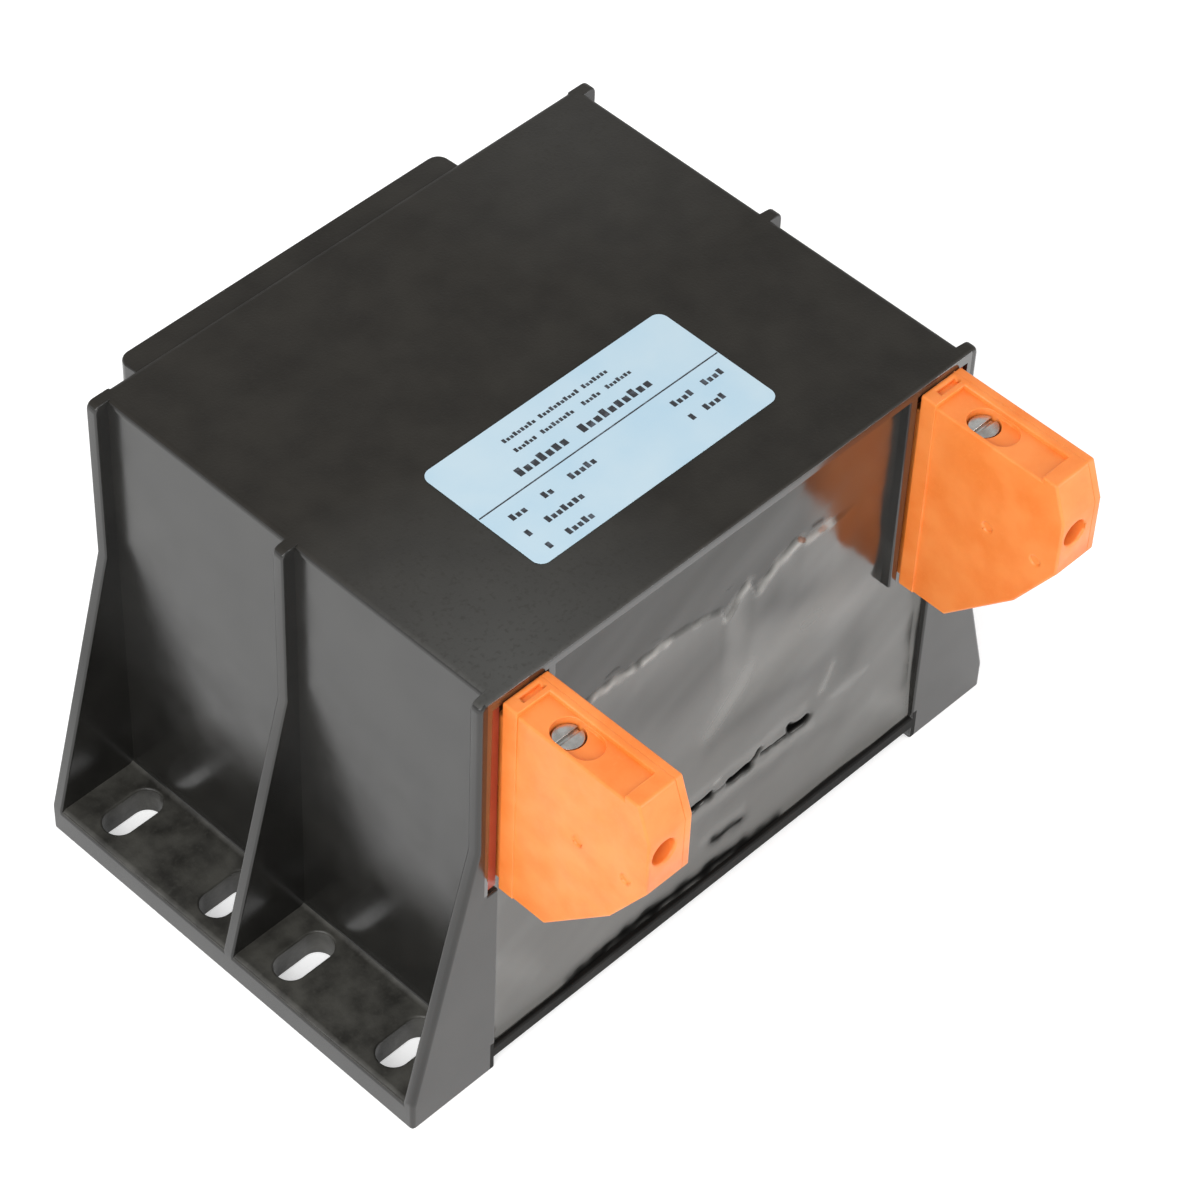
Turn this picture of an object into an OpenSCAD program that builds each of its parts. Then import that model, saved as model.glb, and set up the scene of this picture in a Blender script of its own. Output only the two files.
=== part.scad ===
// Potted single-phase reactor. A moulded pot stands on slotted feet with its open side to the
// front. It is cast full of resin round a gapped laminated choke, and two screw terminals
// stand out of the front in its top corners.
// Units are millimetres. The origin is the middle of the fixing slots on the mounting plane,
// +Z is up and the resin-filled front faces -Y.

/* [Pot] */
// Outside width across the two side walls
pot_w = 112; // [108:1:118]
// Outside depth from the front rim to the back wall
pot_d = 93; // [90:1:104]
// Height of the top face above the mounting plane
pot_top = 98; // [94:1:108]
// Clearance under the pot's floor
pot_lift = 2.8; // [1.5:0.1:4]
// Thickness of the side, top and back walls
wall_t = 2.4; // [2:0.1:3]
// Thickness of the floor
floor_t = 3; // [2.2:0.1:4]
// Radius on the outer edges of the pot
edge_r = 1.2; // [0.6:0.1:1.8]

/* [Feet] */
// Projection of each foot beyond its side wall
foot_out = 17.2; // [16:0.2:22]
// Thickness of the feet
foot_t = 6.2; // [5:0.1:8]
// Chamfer along the outer top edge of the feet
foot_chamfer = 0.8; // [0.4:0.1:1.5]
// Fillet between the feet and the side walls
foot_fillet = 1.2; // [0.6:0.1:2]
// Width of the fixing slots
slot_w = 6.2; // [5:0.1:7]
// End-to-end length of the fixing slots
slot_l = 12.4; // [9:0.1:13]
// Distance of the slot centres from the side wall
slot_set = 8; // [7.6:0.1:8.4]
// Distance between the two slots beside the middle rib
slot_near = 19.2; // [16:0.2:26]
// Distance between the front slot and the back slot
slot_far = 70.8; // [62:0.2:76]

/* [Ribs] */
// Projection of the ribs beyond the side walls
rib_out = 2.7; // [2:0.1:4]
// Thickness of the ribs
rib_t = 2.4; // [1.8:0.1:3.5]
// Radius on the upper outer corner of the ribs
rib_r = 1.6; // [0.6:0.1:1.9]
// Height at which the ribs start to flare towards the feet
rib_bend = 62; // [50:1:75]

/* [Back pad] */
// Width of the raised pad on the back wall
pad_w = 74.6; // [60:0.2:80]
// Sideways shift of the pad from the middle
pad_shift = -10.6; // [-12:0.1:0]
// Projection of the pad
pad_out = 4.8; // [3:0.1:7]
// Drop of the pad's top edge below the top face
pad_drop = 0.6; // [0.4:0.1:6]
// Height of the pad's lower edge above the pot's underside
pad_rise = 14; // [6:1:30]
// Radius on the pad's upright edges
pad_r = 2.5; // [1:0.1:2.8]

/* [Resin and label] */
// Depth of the resin surface behind the front rim
resin_recess = 2; // [1:0.1:3]
// Width of the rating label
label_w = 56; // [40:0.5:70]
// Depth of the rating label
label_d = 28; // [20:0.5:40]
// Thickness of the rating label
label_t = 0.2; // [0.1:0.05:0.5]
// Corner radius of the rating label
label_r = 2; // [0.5:0.1:4]
// Sideways shift of the label from the middle
label_shift = -2.7; // [-10:0.1:10]
// Distance of the label's middle from the front rim
label_set = 28.8; // [24:0.1:60]

/* [Terminal bodies] */
// Thickness of the moulded terminal body
term_body_t = 8.4; // [8.3:0.1:9]
// Thickness of the terminal's side cover
term_cover_t = 1.7; // [1:0.1:2.5]
// Height of the terminals
term_h = 46.4; // [44:0.2:52]
// Projection of the terminals from the front rim
term_out = 32.2; // [30:0.2:38]
// Lap of each terminal over the front edge of its side wall
term_lap = 0.5; // [0.2:0.1:0.8]
// Drop of the terminal tops below the top face
term_drop = 1.8; // [1:0.1:2.2]
// Setback of the terminal's top edge behind its nose
nose_set = 2.6; // [1:0.1:4]
// Fall of the sloping face above the nose
nose_fall = 7.4; // [5:0.1:8]
// Height of the upright nose face
nose_h = 12; // [10:0.1:13]
// Projection of the knee in the underside
knee_out = 24.4; // [20:0.2:27]
// Height of the knee above the terminal's lower edge
knee_h = 14.4; // [10:0.2:18]
// Projection of the flat part of the underside
heel_out = 10.6; // [6:0.2:14]
// Depth of the plug that the resin holds
plug_depth = 8; // [5:0.2:10]
// Inset of the plug from the body's outline
plug_inset = 1; // [0.5:0.1:1.5]
// Drop of the plug's upper face below the terminal top
plug_drop = 5; // [4:0.2:6]
// Length of the full-height lip at the base of the terminal's top
lip_l = 3.4; // [2.8:0.1:4]
// Length of the marker notch across the lip
notch_l = 4.3; // [2:0.1:6]
// Width of the marker notch
notch_w = 1.2; // [0.6:0.1:1.6]
// Depth of the marker notch
notch_depth = 1; // [0.4:0.1:2]
// Width of the lowered ledge beside the terminal's top
ledge_w = 7.2; // [7.1:0.1:7.6]
// Depth of the lowered ledge
ledge_drop = 1; // [0.5:0.1:1.5]
// Length of the lowered ledge
ledge_l = 23; // [16:0.2:25]
// Setback of the terminal's left face behind the flange at its base
face_set = 0.3; // [0.2:0.1:0.4]
// Diameter of the moulding marks on the terminal's side
mark_d = 1.8; // [1:0.1:2.5]
// Projection of the inner moulding mark
mark_near = 17; // [14:0.2:20]
// Projection of the outer moulding mark
mark_far = 27.6; // [24:0.2:29]
// Height of the moulding marks above the terminal's lower edge
mark_h = 27; // [25:0.2:30]
// Depth of the moulding marks
mark_depth = 0.4; // [0.2:0.1:0.5]

/* [Terminal channels] */
// Thickness of the divider beside each terminal
divider_t = 2; // [1.5:0.1:3]
// Depth of the dividers behind the front rim
divider_depth = 9.5; // [8.5:0.1:11]
// Setback of the side walls' front edges beside the terminals
channel_depth = 1; // [0.6:0.1:1.4]
// Run of that setback below the terminals
channel_drop = 0.5; // [0.2:0.1:1]

/* [Clamps] */
// Diameter of the wire entry
wire_d = 5; // [4:0.1:5.4]
// Height of the wire entry above the terminal's lower edge
wire_h = 34.6; // [33.6:0.1:35]
// Distance of the wire entry from the terminal's left face
wire_side = 4; // [3.9:0.1:4.1]
// Distance of the clamp screw from the front rim
screw_out = 10.8; // [9.6:0.1:12]
// Diameter of the clamp screw's thread
screw_d = 3.5; // [2.8:0.1:3.8]
// Diameter of the clamp screw's head
head_d = 5.4; // [4.6:0.1:5.8]
// Height of the clamp screw's head
head_h = 1.8; // [1.2:0.1:2]
// Width of the driver slot in the screw head
driver_w = 0.9; // [0.6:0.1:1.2]
// Depth of the driver slot
driver_depth = 0.9; // [0.5:0.1:1.1]
// Length by which the finger recess runs on past the screw well
recess_run = 4; // [1.5:0.1:6]
// Depth of the finger recess
recess_depth = 2; // [1:0.1:2.2]
// Length of the clamp cage along the wire
cage_l = 8; // [6:0.1:8.6]
// Thickness of the cage's sides
cage_side_t = 0.6; // [0.4:0.1:0.8]
// Thickness of the cage's floor
cage_floor_t = 1.2; // [0.8:0.1:2]
// Thickness of the cage's threaded top
cage_top_t = 2; // [1.5:0.1:2.4]
// Depth of the cage's floor below the wire entry
cage_sink = 0.4; // [0.2:0.1:0.8]
// Height between the current bar and the cage's top
cage_play = 1.4; // [1:0.1:1.8]
// Width of the current bar
bar_w = 4; // [3.4:0.1:4.6]
// Thickness of the current bar
bar_t = 1.5; // [1:0.1:1.6]
// Length of the current bar behind the front rim
bar_tail = 16; // [15.5:0.5:17]

/* [Core] */
// Resin between the core and each side wall
side_cover = 5.6; // [4.5:0.1:7]
// Resin under the core
floor_cover = 4.2; // [3:0.1:6]
// Resin above the core
top_cover = 4.4; // [3:0.1:5]
// Height of the core's yokes
yoke_h = 16; // [14:0.2:18]
// Depth of the lamination stack
stack_d = 44; // [38:0.5:48]
// Height of the air gap
gap_t = 1.2; // [0.6:0.1:2.5]
// Thickness of the strap round the core
strap_t = 0.6; // [0.4:0.1:1]
// Width of the strap round the core
strap_w = 16; // [10:0.5:22]

/* [Coil] */
// Wall thickness of the bobbin's tube
bobbin_t = 1.5; // [1:0.1:2]
// Thickness of the bobbin's flanges
flange_t = 1.6; // [1.2:0.1:2.5]
// Thickness of the tape wrapped round the winding
wrap_t = 0.4; // [0.2:0.1:0.6]
// Distance of the wrap behind the edges of the flanges
wrap_set = 0.6; // [0.3:0.1:1]
// Corner radius of the wrapped winding
coil_r = 4; // [2:0.2:6]
// Side of the square leads between the winding and the current bars
lead_w = 2.2; // [1.6:0.1:2.6]
// Length by which a lead laps the tail of its current bar
lead_lap = 3; // [2:0.1:5]
// Outside width of the sleeves on the leads
sleeve_w = 3.4; // [3:0.1:3.8]
// Bare length of a lead beside its current bar
lead_bare = 1; // [0.6:0.1:2]

/* [Fits] */
// Clearance between a terminal and its divider
term_gap = 0.2; // [0.1:0.05:0.3]
// Clearance between a current bar and the sides of its clamp cage
bar_room = 0.2; // [0.1:0.05:0.3]
// Clearance round a screw head in its well
head_gap = 0.3; // [0.2:0.05:0.4]
// Clearance round a clamp cage in its pocket
cage_gap = 0.2; // [0.1:0.05:0.3]
// Clearance round a current bar in its slot
bar_gap = 0.1; // [0.05:0.05:0.2]
// Clearance of a clamp screw in its cage
thread_gap = 0.1; // [0.05:0.05:0.2]
// Clearance between the coil and the core
coil_gap = 0.3; // [0.2:0.05:0.3]
// Clearance of a lead in its sleeve and in the bobbin's flange
lead_gap = 0.1; // [0.05:0.05:0.2]

/* [Hidden] */
$fn = 48;
// Overlap that carries a cut clear of a face or fuses two bodies of one piece
eps = 0.5;
LEFT = -1;
RIGHT = 1;

// Pot
side_x = pot_w / 2;
front_y = -pot_d / 2;
back_y = pot_d / 2;
inner_x = side_x - wall_t;
inner_back = back_y - wall_t;
inner_floor = pot_lift + floor_t;
inner_top = pot_top - wall_t;
resin_y = front_y + resin_recess;
foot_x = side_x + foot_out;
slot_x = side_x + slot_set;
pad_z0 = pot_lift + pad_rise;
pad_z1 = pot_top - pad_drop;

// Terminals
term_t = term_body_t + term_cover_t;
term_z = pot_top - term_drop - term_h;
nose_top = term_h - nose_fall;
nose_low = nose_top - nose_h;
plug_h1 = term_h - plug_drop;
divider_x = inner_x + term_lap - term_t - term_gap;
well_d = head_d + 2 * head_gap;
cage_w = bar_w + 2 * (bar_room + cage_side_t);
cage_z0 = wire_h - wire_d / 2 - cage_sink - cage_floor_t;
bar_z0 = wire_h + wire_d / 2 + bar_gap;
bar_z1 = bar_z0 + bar_t;
cage_z1 = bar_z1 + cage_play + cage_top_t;
pocket_u0 = screw_out - cage_l / 2 - cage_gap;
pocket_u1 = screw_out + cage_l / 2 + cage_gap;
pocket_z1 = cage_z1 + cage_gap;
head_z0 = pocket_z1 + thread_gap;

// Core and coil
choke_y = (resin_y + inner_back) / 2;
core_w = 2 * (inner_x - side_cover);
core_z0 = inner_floor + floor_cover;
core_z1 = inner_top - top_cover;
// Outer legs and windows are equally wide, and the middle leg is as wide as both outer legs
leg_w = core_w / 6;
window_w = (core_w - 4 * leg_w) / 2;
window_z0 = core_z0 + yoke_h;
window_z1 = core_z1 - yoke_h - gap_t;
bobbin_z0 = window_z0 + coil_gap;
bobbin_z1 = window_z1 - coil_gap;
tube_w = 2 * (leg_w + coil_gap + bobbin_t);
tube_d = stack_d + 2 * (coil_gap + bobbin_t);
flange_w = 2 * (leg_w + window_w - coil_gap);
flange_d = stack_d + 2 * (window_w - coil_gap);
wrap_w = flange_w - 2 * wrap_set;
wrap_d = flange_d - 2 * wrap_set;
wind_z0 = bobbin_z0 + flange_t;
wind_z1 = bobbin_z1 - flange_t;

// Leads, from the winding's top to the underside of the current bars
lead_x = leg_w + window_w / 2;
lead_y = choke_y - (stack_d + window_w) / 2;
lead_z = term_z + bar_z0 - lead_w / 2;
lead_end_y = front_y + bar_tail - lead_lap;

// Left face of a terminal
function terminal_x(side) = side == LEFT ? -inner_x - term_lap : inner_x + term_lap - term_t;
// Middle of a terminal's wire entry and current bar
function wire_x(side) = terminal_x(side) + wire_side;
// Route of one lead
function lead_route(side) = [
    [side * lead_x, lead_y, wind_z1 + lead_w / 2],
    [side * lead_x, lead_y, lead_z],
    [wire_x(side), lead_y, lead_z],
    [wire_x(side), lead_end_y, lead_z]
];
// Part of that route that the sleeve covers
function sleeve_route(side) = [
    [side * lead_x, lead_y, bobbin_z1 + sleeve_w / 2],
    [side * lead_x, lead_y, lead_z],
    [wire_x(side) - side * ((bar_w + sleeve_w) / 2 + lead_bare), lead_y, lead_z]
];

// Rectangle with round corners, centred
module rounded_rect(w, h, r) {
    square([w - 2 * r, h], center = true);
    square([w, h - 2 * r], center = true);
    for (x = [-1, 1], y = [-1, 1])
        translate([x * (w / 2 - r), y * (h / 2 - r)]) circle(r = r);
}

// Box given by two opposite corners
module block(low, high) {
    translate(low) cube(high - low);
}

// Upright outline in X and Z, drawn out along Y between two planes
module along_y(y0, y1) {
    translate([0, y1, 0]) rotate([90, 0, 0]) linear_extrude(y1 - y0) children();
}

// Side outline in projection and height, drawn out in thickness from x0 to x1
module sideways(x0, x1) {
    translate([x1, 0, 0]) rotate([90, 0, -90]) linear_extrude(x1 - x0) children();
}

// Oblong hole along X
module oblong(length, width, depth) {
    straight = length - width;
    translate([-straight / 2, -width / 2, 0]) cube([straight, width, depth]);
    for (x = [-1, 1]) translate([x * straight / 2, 0, 0]) cylinder(d = width, h = depth);
}

// Square wire through a list of points that lie along the axes
module wire_run(points, w) {
    half = [w, w, w] / 2;
    for (i = [0 : len(points) - 2]) {
        low = [for (k = [0 : 2]) min(points[i][k], points[i + 1][k])];
        high = [for (k = [0 : 2]) max(points[i][k], points[i + 1][k])];
        block(low - half, high + half);
    }
}

// Terminal's own frame: thickness from its left face, projection towards -Y, height from its base
module at_terminal(side) {
    translate([terminal_x(side), front_y, term_z]) children();
}

// Outer form of the pot, round along every edge but the front rim
module pot_form() {
    height = pot_top - pot_lift;
    middle_z = (pot_top + pot_lift) / 2;
    reach = pot_d + 2 * edge_r;
    intersection() {
        along_y(front_y, back_y) translate([0, middle_z]) rounded_rect(pot_w, height, edge_r);
        translate([0, -edge_r, pot_lift]) linear_extrude(height) rounded_rect(pot_w, reach, edge_r);
        translate([-side_x, 0, 0]) rotate([90, 0, 90])
            linear_extrude(pot_w) translate([-edge_r, middle_z]) rounded_rect(reach, height, edge_r);
    }
}

// Cross-section of the right foot with its fillet against the side wall
module foot_section() {
    polygon([
        [inner_x, 0], [foot_x, 0], [foot_x, foot_t - foot_chamfer], [foot_x - foot_chamfer, foot_t],
        [inner_x, foot_t]
    ]);
    difference() {
        translate([inner_x, 0]) square([wall_t + foot_fillet, foot_t + foot_fillet]);
        translate([side_x + foot_fillet, foot_t + foot_fillet]) circle(r = foot_fillet);
    }
}

// Right foot with its fixing slots
module foot() {
    difference() {
        along_y(front_y, back_y) foot_section();
        for (y = [-slot_far, -slot_near, slot_near, slot_far] / 2)
            translate([slot_x, y, -eps]) oblong(slot_l, slot_w, foot_t + 2 * eps);
    }
}

// Outline of a right rib: narrow above, flared below to the foot's edge
module rib_outline() {
    outer = side_x + rib_out;
    shoulder = pot_top - rib_r;
    polygon([
        [inner_x, 0], [foot_x, 0], [foot_x, foot_t], [outer, rib_bend], [outer, shoulder],
        [inner_x, shoulder]
    ]);
    translate([inner_x, shoulder - eps]) square([outer - rib_r - inner_x, rib_r + eps]);
    translate([outer - rib_r, shoulder]) circle(r = rib_r);
}

// Rib on the right side
module rib(y0) {
    along_y(y0, y0 + rib_t) rib_outline();
}

// Divider that closes the right terminal's channel on its inner side
module divider() {
    block([divider_x - divider_t, front_y, term_z], [divider_x, front_y + divider_depth, inner_top + eps]);
}

// Setback of the right wall's front edge beside the terminal
module wall_channel() {
    block(
        [inner_x - eps, front_y - eps, term_z - channel_drop],
        [side_x, front_y + channel_depth, inner_top]
    );
}

// Raised pad on the back wall, round along its upright edges
module back_pad() {
    translate([pad_shift, back_y, pad_z0]) intersection() {
        linear_extrude(pad_z1 - pad_z0) rounded_rect(pad_w, 2 * pad_out, pad_r);
        translate([-pad_w / 2, -eps, 0]) cube([pad_w, pad_out + 2 * eps, pad_z1 - pad_z0]);
    }
}

module pot_housing() {
    color("#33322f") {
        difference() {
            pot_form();
            block([-inner_x, front_y - eps, inner_floor], [inner_x, inner_back, inner_top]);
            for (side = [0, 1]) mirror([side, 0, 0]) wall_channel();
        }
        for (side = [0, 1]) mirror([side, 0, 0]) {
            foot();
            difference() {
                for (y0 = [front_y, -rib_t / 2, back_y - rib_t]) rib(y0);
                wall_channel();
            }
            divider();
        }
        back_pad();
    }
}

// Core with its air gap, closed windows and strap, as the resin meets it
module choke_form() {
    block([-core_w / 2, choke_y - stack_d / 2, core_z0], [core_w / 2, choke_y + stack_d / 2, core_z1]);
    core_strap();
    for (z = [bobbin_z0, bobbin_z1 - flange_t])
        translate([-flange_w / 2, choke_y - flange_d / 2, z]) cube([flange_w, flange_d, flange_t]);
    translate([0, choke_y, wind_z0]) linear_extrude(wind_z1 - wind_z0) rounded_rect(wrap_w, wrap_d, coil_r);
}

module potting_resin() {
    color("#7c7d7a") difference() {
        block([-inner_x, resin_y, inner_floor], [inner_x, inner_back, inner_top]);
        for (side = [0, 1]) mirror([side, 0, 0]) divider();
        choke_form();
        for (side = [LEFT, RIGHT]) {
            at_terminal(side) {
                plug();
                current_bar();
            }
            wire_run(lead_route(side), lead_w);
            wire_run(sleeve_route(side), sleeve_w);
        }
    }
}

module rating_label() {
    color("#cfe1f0") translate([label_shift, front_y + label_set, pot_top])
        linear_extrude(label_t) rounded_rect(label_w, label_d, label_r);
}

// Side outline of a terminal: flat top, sloping face, upright nose and kneed underside
module terminal_outline() {
    polygon([
        [0, 0], [heel_out, 0], [knee_out, knee_h], [term_out, nose_low], [term_out, nose_top],
        [term_out - nose_set, term_h], [0, term_h]
    ]);
}

// Plug behind a terminal's base
module plug() {
    block([plug_inset, 0, plug_inset], [term_body_t - plug_inset, plug_depth, plug_h1]);
}

// Current bar of a terminal, from inside its clamp to its tail in the resin
module current_bar() {
    translate([wire_side - bar_w / 2, -pocket_u1 + 2 * cage_gap, bar_z0])
        cube([bar_w, pocket_u1 - 2 * cage_gap + bar_tail, bar_t]);
}

// Slot for the current bar through a terminal's base
module bar_slot() {
    translate([wire_side - bar_w / 2 - bar_gap, -screw_out, bar_z0 - bar_gap])
        cube([bar_w + 2 * bar_gap, screw_out + plug_depth + eps, bar_t + 2 * bar_gap]);
}

// Pocket for the clamp cage, open towards the side cover
module cage_pocket() {
    block(
        [wire_side - cage_w / 2 - cage_gap, -pocket_u1, cage_z0 - cage_gap],
        [term_body_t + eps, -pocket_u0, pocket_z1]
    );
}

// Screw well with the finger recess that opens it towards the nose
module screw_well() {
    translate([wire_side, -screw_out, pocket_z1 - eps])
        cylinder(d = well_d, h = term_h - pocket_z1 + 2 * eps);
    translate([wire_side, -screw_out - recess_run / 2, term_h - recess_depth])
        rotate([0, 0, 90]) oblong(well_d + recess_run, well_d, recess_depth + eps);
}

// Marker notch across the lip at the base of the terminal's top
module marker_notch() {
    translate([(term_t - notch_l) / 2, -(lip_l + notch_w) / 2, term_h - notch_depth])
        cube([notch_l, notch_w, notch_depth + eps]);
}

// Two round moulding marks on the terminal's left face
module side_marks() {
    for (out = [mark_near, mark_far])
        translate([0, -out, mark_h]) rotate([0, 90, 0]) cylinder(d = mark_d, h = face_set + mark_depth);
}

module terminal_body(side) {
    color("#f58a3c") at_terminal(side) difference() {
        union() {
            sideways(face_set, term_body_t) terminal_outline();
            block([0, -lip_l, 0], [term_body_t, 0, term_h]);
            plug();
        }
        translate([-eps, -lip_l - ledge_l, term_h - ledge_drop])
            cube([ledge_w + eps, ledge_l, ledge_drop + eps]);
        translate([wire_side, -pocket_u1 + eps, wire_h]) rotate([90, 0, 0])
            cylinder(d = wire_d, h = term_out - pocket_u1 + 2 * eps);
        cage_pocket();
        screw_well();
        marker_notch();
        bar_slot();
        side_marks();
    }
}

module terminal_cover(side) {
    color("#f58a3c") at_terminal(side) sideways(term_body_t, term_t) terminal_outline();
}

module clamp_cage(side) {
    color("silver") at_terminal(side) translate([wire_side, -screw_out, 0]) difference() {
        block([-cage_w / 2, -cage_l / 2, cage_z0], [cage_w / 2, cage_l / 2, cage_z1]);
        block(
            [cage_side_t - cage_w / 2, -cage_l / 2 - eps, cage_z0 + cage_floor_t],
            [cage_w / 2 - cage_side_t, cage_l / 2 + eps, cage_z1 - cage_top_t]
        );
        translate([0, 0, cage_z1 - cage_top_t - eps])
            cylinder(d = screw_d + 2 * thread_gap, h = cage_top_t + 2 * eps);
    }
}

// Slotted clamp screw that stands on the current bar
module clamp_screw() {
    translate([wire_side, -screw_out, 0]) difference() {
        union() {
            translate([0, 0, bar_z1]) cylinder(d = screw_d, h = head_z0 - bar_z1 + eps);
            translate([0, 0, head_z0]) cylinder(d = head_d, h = head_h);
        }
        translate([-head_d, -driver_w / 2, head_z0 + head_h - driver_depth])
            cube([2 * head_d, driver_w, driver_depth + eps]);
    }
}

module clamp_screws() {
    color("gainsboro") for (side = [LEFT, RIGHT]) at_terminal(side) clamp_screw();
}

module core_e_stack() {
    leg_top = window_z1;
    color("dimgray") along_y(choke_y - stack_d / 2, choke_y + stack_d / 2) difference() {
        translate([-core_w / 2, core_z0]) square([core_w, leg_top - core_z0]);
        for (side = [0, 1]) mirror([side, 0])
            translate([leg_w, window_z0]) square([window_w, leg_top - window_z0 + eps]);
    }
}

module core_i_stack() {
    color("dimgray") block(
        [-core_w / 2, choke_y - stack_d / 2, core_z1 - yoke_h],
        [core_w / 2, choke_y + stack_d / 2, core_z1]
    );
}

module center_gap_spacer() {
    color("peru") translate([-leg_w, choke_y - stack_d / 2, window_z1]) cube([2 * leg_w, stack_d, gap_t]);
}

module side_gap_spacers() {
    color("peru") for (x = [-core_w / 2, core_w / 2 - leg_w])
        translate([x, choke_y - stack_d / 2, window_z1]) cube([leg_w, stack_d, gap_t]);
}

module core_strap() {
    color("lightsteelblue") along_y(choke_y - strap_w / 2, choke_y + strap_w / 2) difference() {
        translate([-core_w / 2 - strap_t, core_z0 - strap_t])
            square([core_w + 2 * strap_t, core_z1 - core_z0 + 2 * strap_t]);
        translate([-core_w / 2, core_z0]) square([core_w, core_z1 - core_z0]);
    }
}

module bobbin() {
    color("ivory") translate([0, choke_y, 0]) difference() {
        union() {
            translate([-tube_w / 2, -tube_d / 2, bobbin_z0]) cube([tube_w, tube_d, bobbin_z1 - bobbin_z0]);
            for (z = [bobbin_z0, bobbin_z1 - flange_t])
                translate([-flange_w / 2, -flange_d / 2, z]) cube([flange_w, flange_d, flange_t]);
        }
        translate([bobbin_t - tube_w / 2, bobbin_t - tube_d / 2, bobbin_z0 - eps])
            cube([tube_w - 2 * bobbin_t, tube_d - 2 * bobbin_t, bobbin_z1 - bobbin_z0 + 2 * eps]);
        for (side = [LEFT, RIGHT])
            translate([side * lead_x, lead_y - choke_y, wind_z1 + flange_t / 2])
                cube([lead_w + 2 * lead_gap, lead_w + 2 * lead_gap, flange_t + 2 * eps], center = true);
    }
}

// Plan of the wrapped coil, less a skin of the given thickness
module coil_plan(skin) {
    rounded_rect(wrap_w - 2 * skin, wrap_d - 2 * skin, coil_r - skin);
}

module winding() {
    color("chocolate") translate([0, choke_y, wind_z0]) linear_extrude(wind_z1 - wind_z0) difference() {
        coil_plan(wrap_t);
        square([tube_w, tube_d], center = true);
    }
}

module winding_wrap() {
    color("khaki") translate([0, choke_y, wind_z0]) linear_extrude(wind_z1 - wind_z0) difference() {
        coil_plan(0);
        coil_plan(wrap_t);
    }
}

module lead(side) {
    color("chocolate") wire_run(lead_route(side), lead_w);
}

module lead_sleeve(side) {
    color("white") difference() {
        wire_run(sleeve_route(side), sleeve_w);
        wire_run(lead_route(side), lead_w + 2 * lead_gap);
    }
}

pot_housing();
potting_resin();
rating_label();
terminal_body(LEFT);  // terminal_body_left
terminal_body(RIGHT);  // terminal_body_right
terminal_cover(LEFT);  // terminal_cover_left
terminal_cover(RIGHT);  // terminal_cover_right
clamp_cage(LEFT);  // clamp_cage_left
clamp_cage(RIGHT);  // clamp_cage_right
clamp_screws();
color("goldenrod") at_terminal(LEFT) current_bar();  // current_bar_left
color("goldenrod") at_terminal(RIGHT) current_bar();  // current_bar_right
core_e_stack();
core_i_stack();
center_gap_spacer();
side_gap_spacers();
core_strap();
bobbin();
winding();
winding_wrap();
lead(LEFT);  // lead_left
lead(RIGHT);  // lead_right
lead_sleeve(LEFT);  // lead_sleeve_left
lead_sleeve(RIGHT);  // lead_sleeve_right
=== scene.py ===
"""Looks of a resin-potted reactor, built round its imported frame.

The pot, the casting, the label and the two screw terminals are dressed copies of the frame's
own pieces: their edges are rounded, the casting gets its poured face and the label its print.
The choke inside keeps the frame's pieces and gets its finishes.
"""

import logging
import math
from collections.abc import Callable, Iterable, Iterator
from contextlib import contextmanager
from dataclasses import dataclass, field, replace
from enum import Enum

import bmesh
import bpy
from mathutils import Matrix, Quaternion, Vector, noise


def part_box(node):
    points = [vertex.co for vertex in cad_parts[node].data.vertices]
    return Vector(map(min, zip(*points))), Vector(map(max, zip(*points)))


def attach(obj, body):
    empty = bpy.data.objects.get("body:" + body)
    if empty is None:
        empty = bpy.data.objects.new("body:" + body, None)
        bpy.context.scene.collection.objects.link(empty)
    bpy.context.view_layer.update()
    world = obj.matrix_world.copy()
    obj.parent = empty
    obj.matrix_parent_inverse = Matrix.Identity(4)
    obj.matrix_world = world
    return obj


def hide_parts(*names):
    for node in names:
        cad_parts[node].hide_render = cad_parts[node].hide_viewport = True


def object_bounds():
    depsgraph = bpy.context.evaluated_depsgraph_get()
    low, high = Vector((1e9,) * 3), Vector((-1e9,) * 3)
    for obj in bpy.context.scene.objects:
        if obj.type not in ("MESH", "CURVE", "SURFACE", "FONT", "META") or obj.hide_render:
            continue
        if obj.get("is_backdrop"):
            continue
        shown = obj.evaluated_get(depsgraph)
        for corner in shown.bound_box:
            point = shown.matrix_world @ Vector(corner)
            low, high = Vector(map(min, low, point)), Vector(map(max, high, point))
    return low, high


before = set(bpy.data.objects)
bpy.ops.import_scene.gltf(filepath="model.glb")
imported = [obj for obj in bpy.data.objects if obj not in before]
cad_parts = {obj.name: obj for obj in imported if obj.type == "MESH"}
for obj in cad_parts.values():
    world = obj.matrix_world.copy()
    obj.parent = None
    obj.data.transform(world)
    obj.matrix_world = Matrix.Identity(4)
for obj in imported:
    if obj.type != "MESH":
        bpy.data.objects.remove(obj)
CAD_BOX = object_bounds()

MM = 0.001
BODY = "root"
WELD_GAP = 0.002 * MM
FLAT_ANGLE = math.radians(0.5)
SHARP_ANGLE = math.radians(35)
POT_WALL = 2.4 * MM
# Values painted at the casting's points: paler colour with painted highlight, darker colour with painted
# shade and dark patches, and a raised index.
PAINTS = ("pale", "shade_and_patches", "wet")
MARK_SPAN = (0.3, 0.7)
# Blender's wave texture repeats after this length at a scale of 1.
WAVE_LENGTH = math.pi / 10.0

Colour = tuple[float, float, float]
Point = tuple[float, float]
Place = tuple[float, float, float]
Socket = bpy.types.NodeSocket
EdgeShare = Callable[[bmesh.types.BMEdge], float]

log = logging.getLogger("reactor")


class Side(Enum):
    """The two front corners that hold a terminal."""

    LEFT = "left"
    RIGHT = "right"


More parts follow.
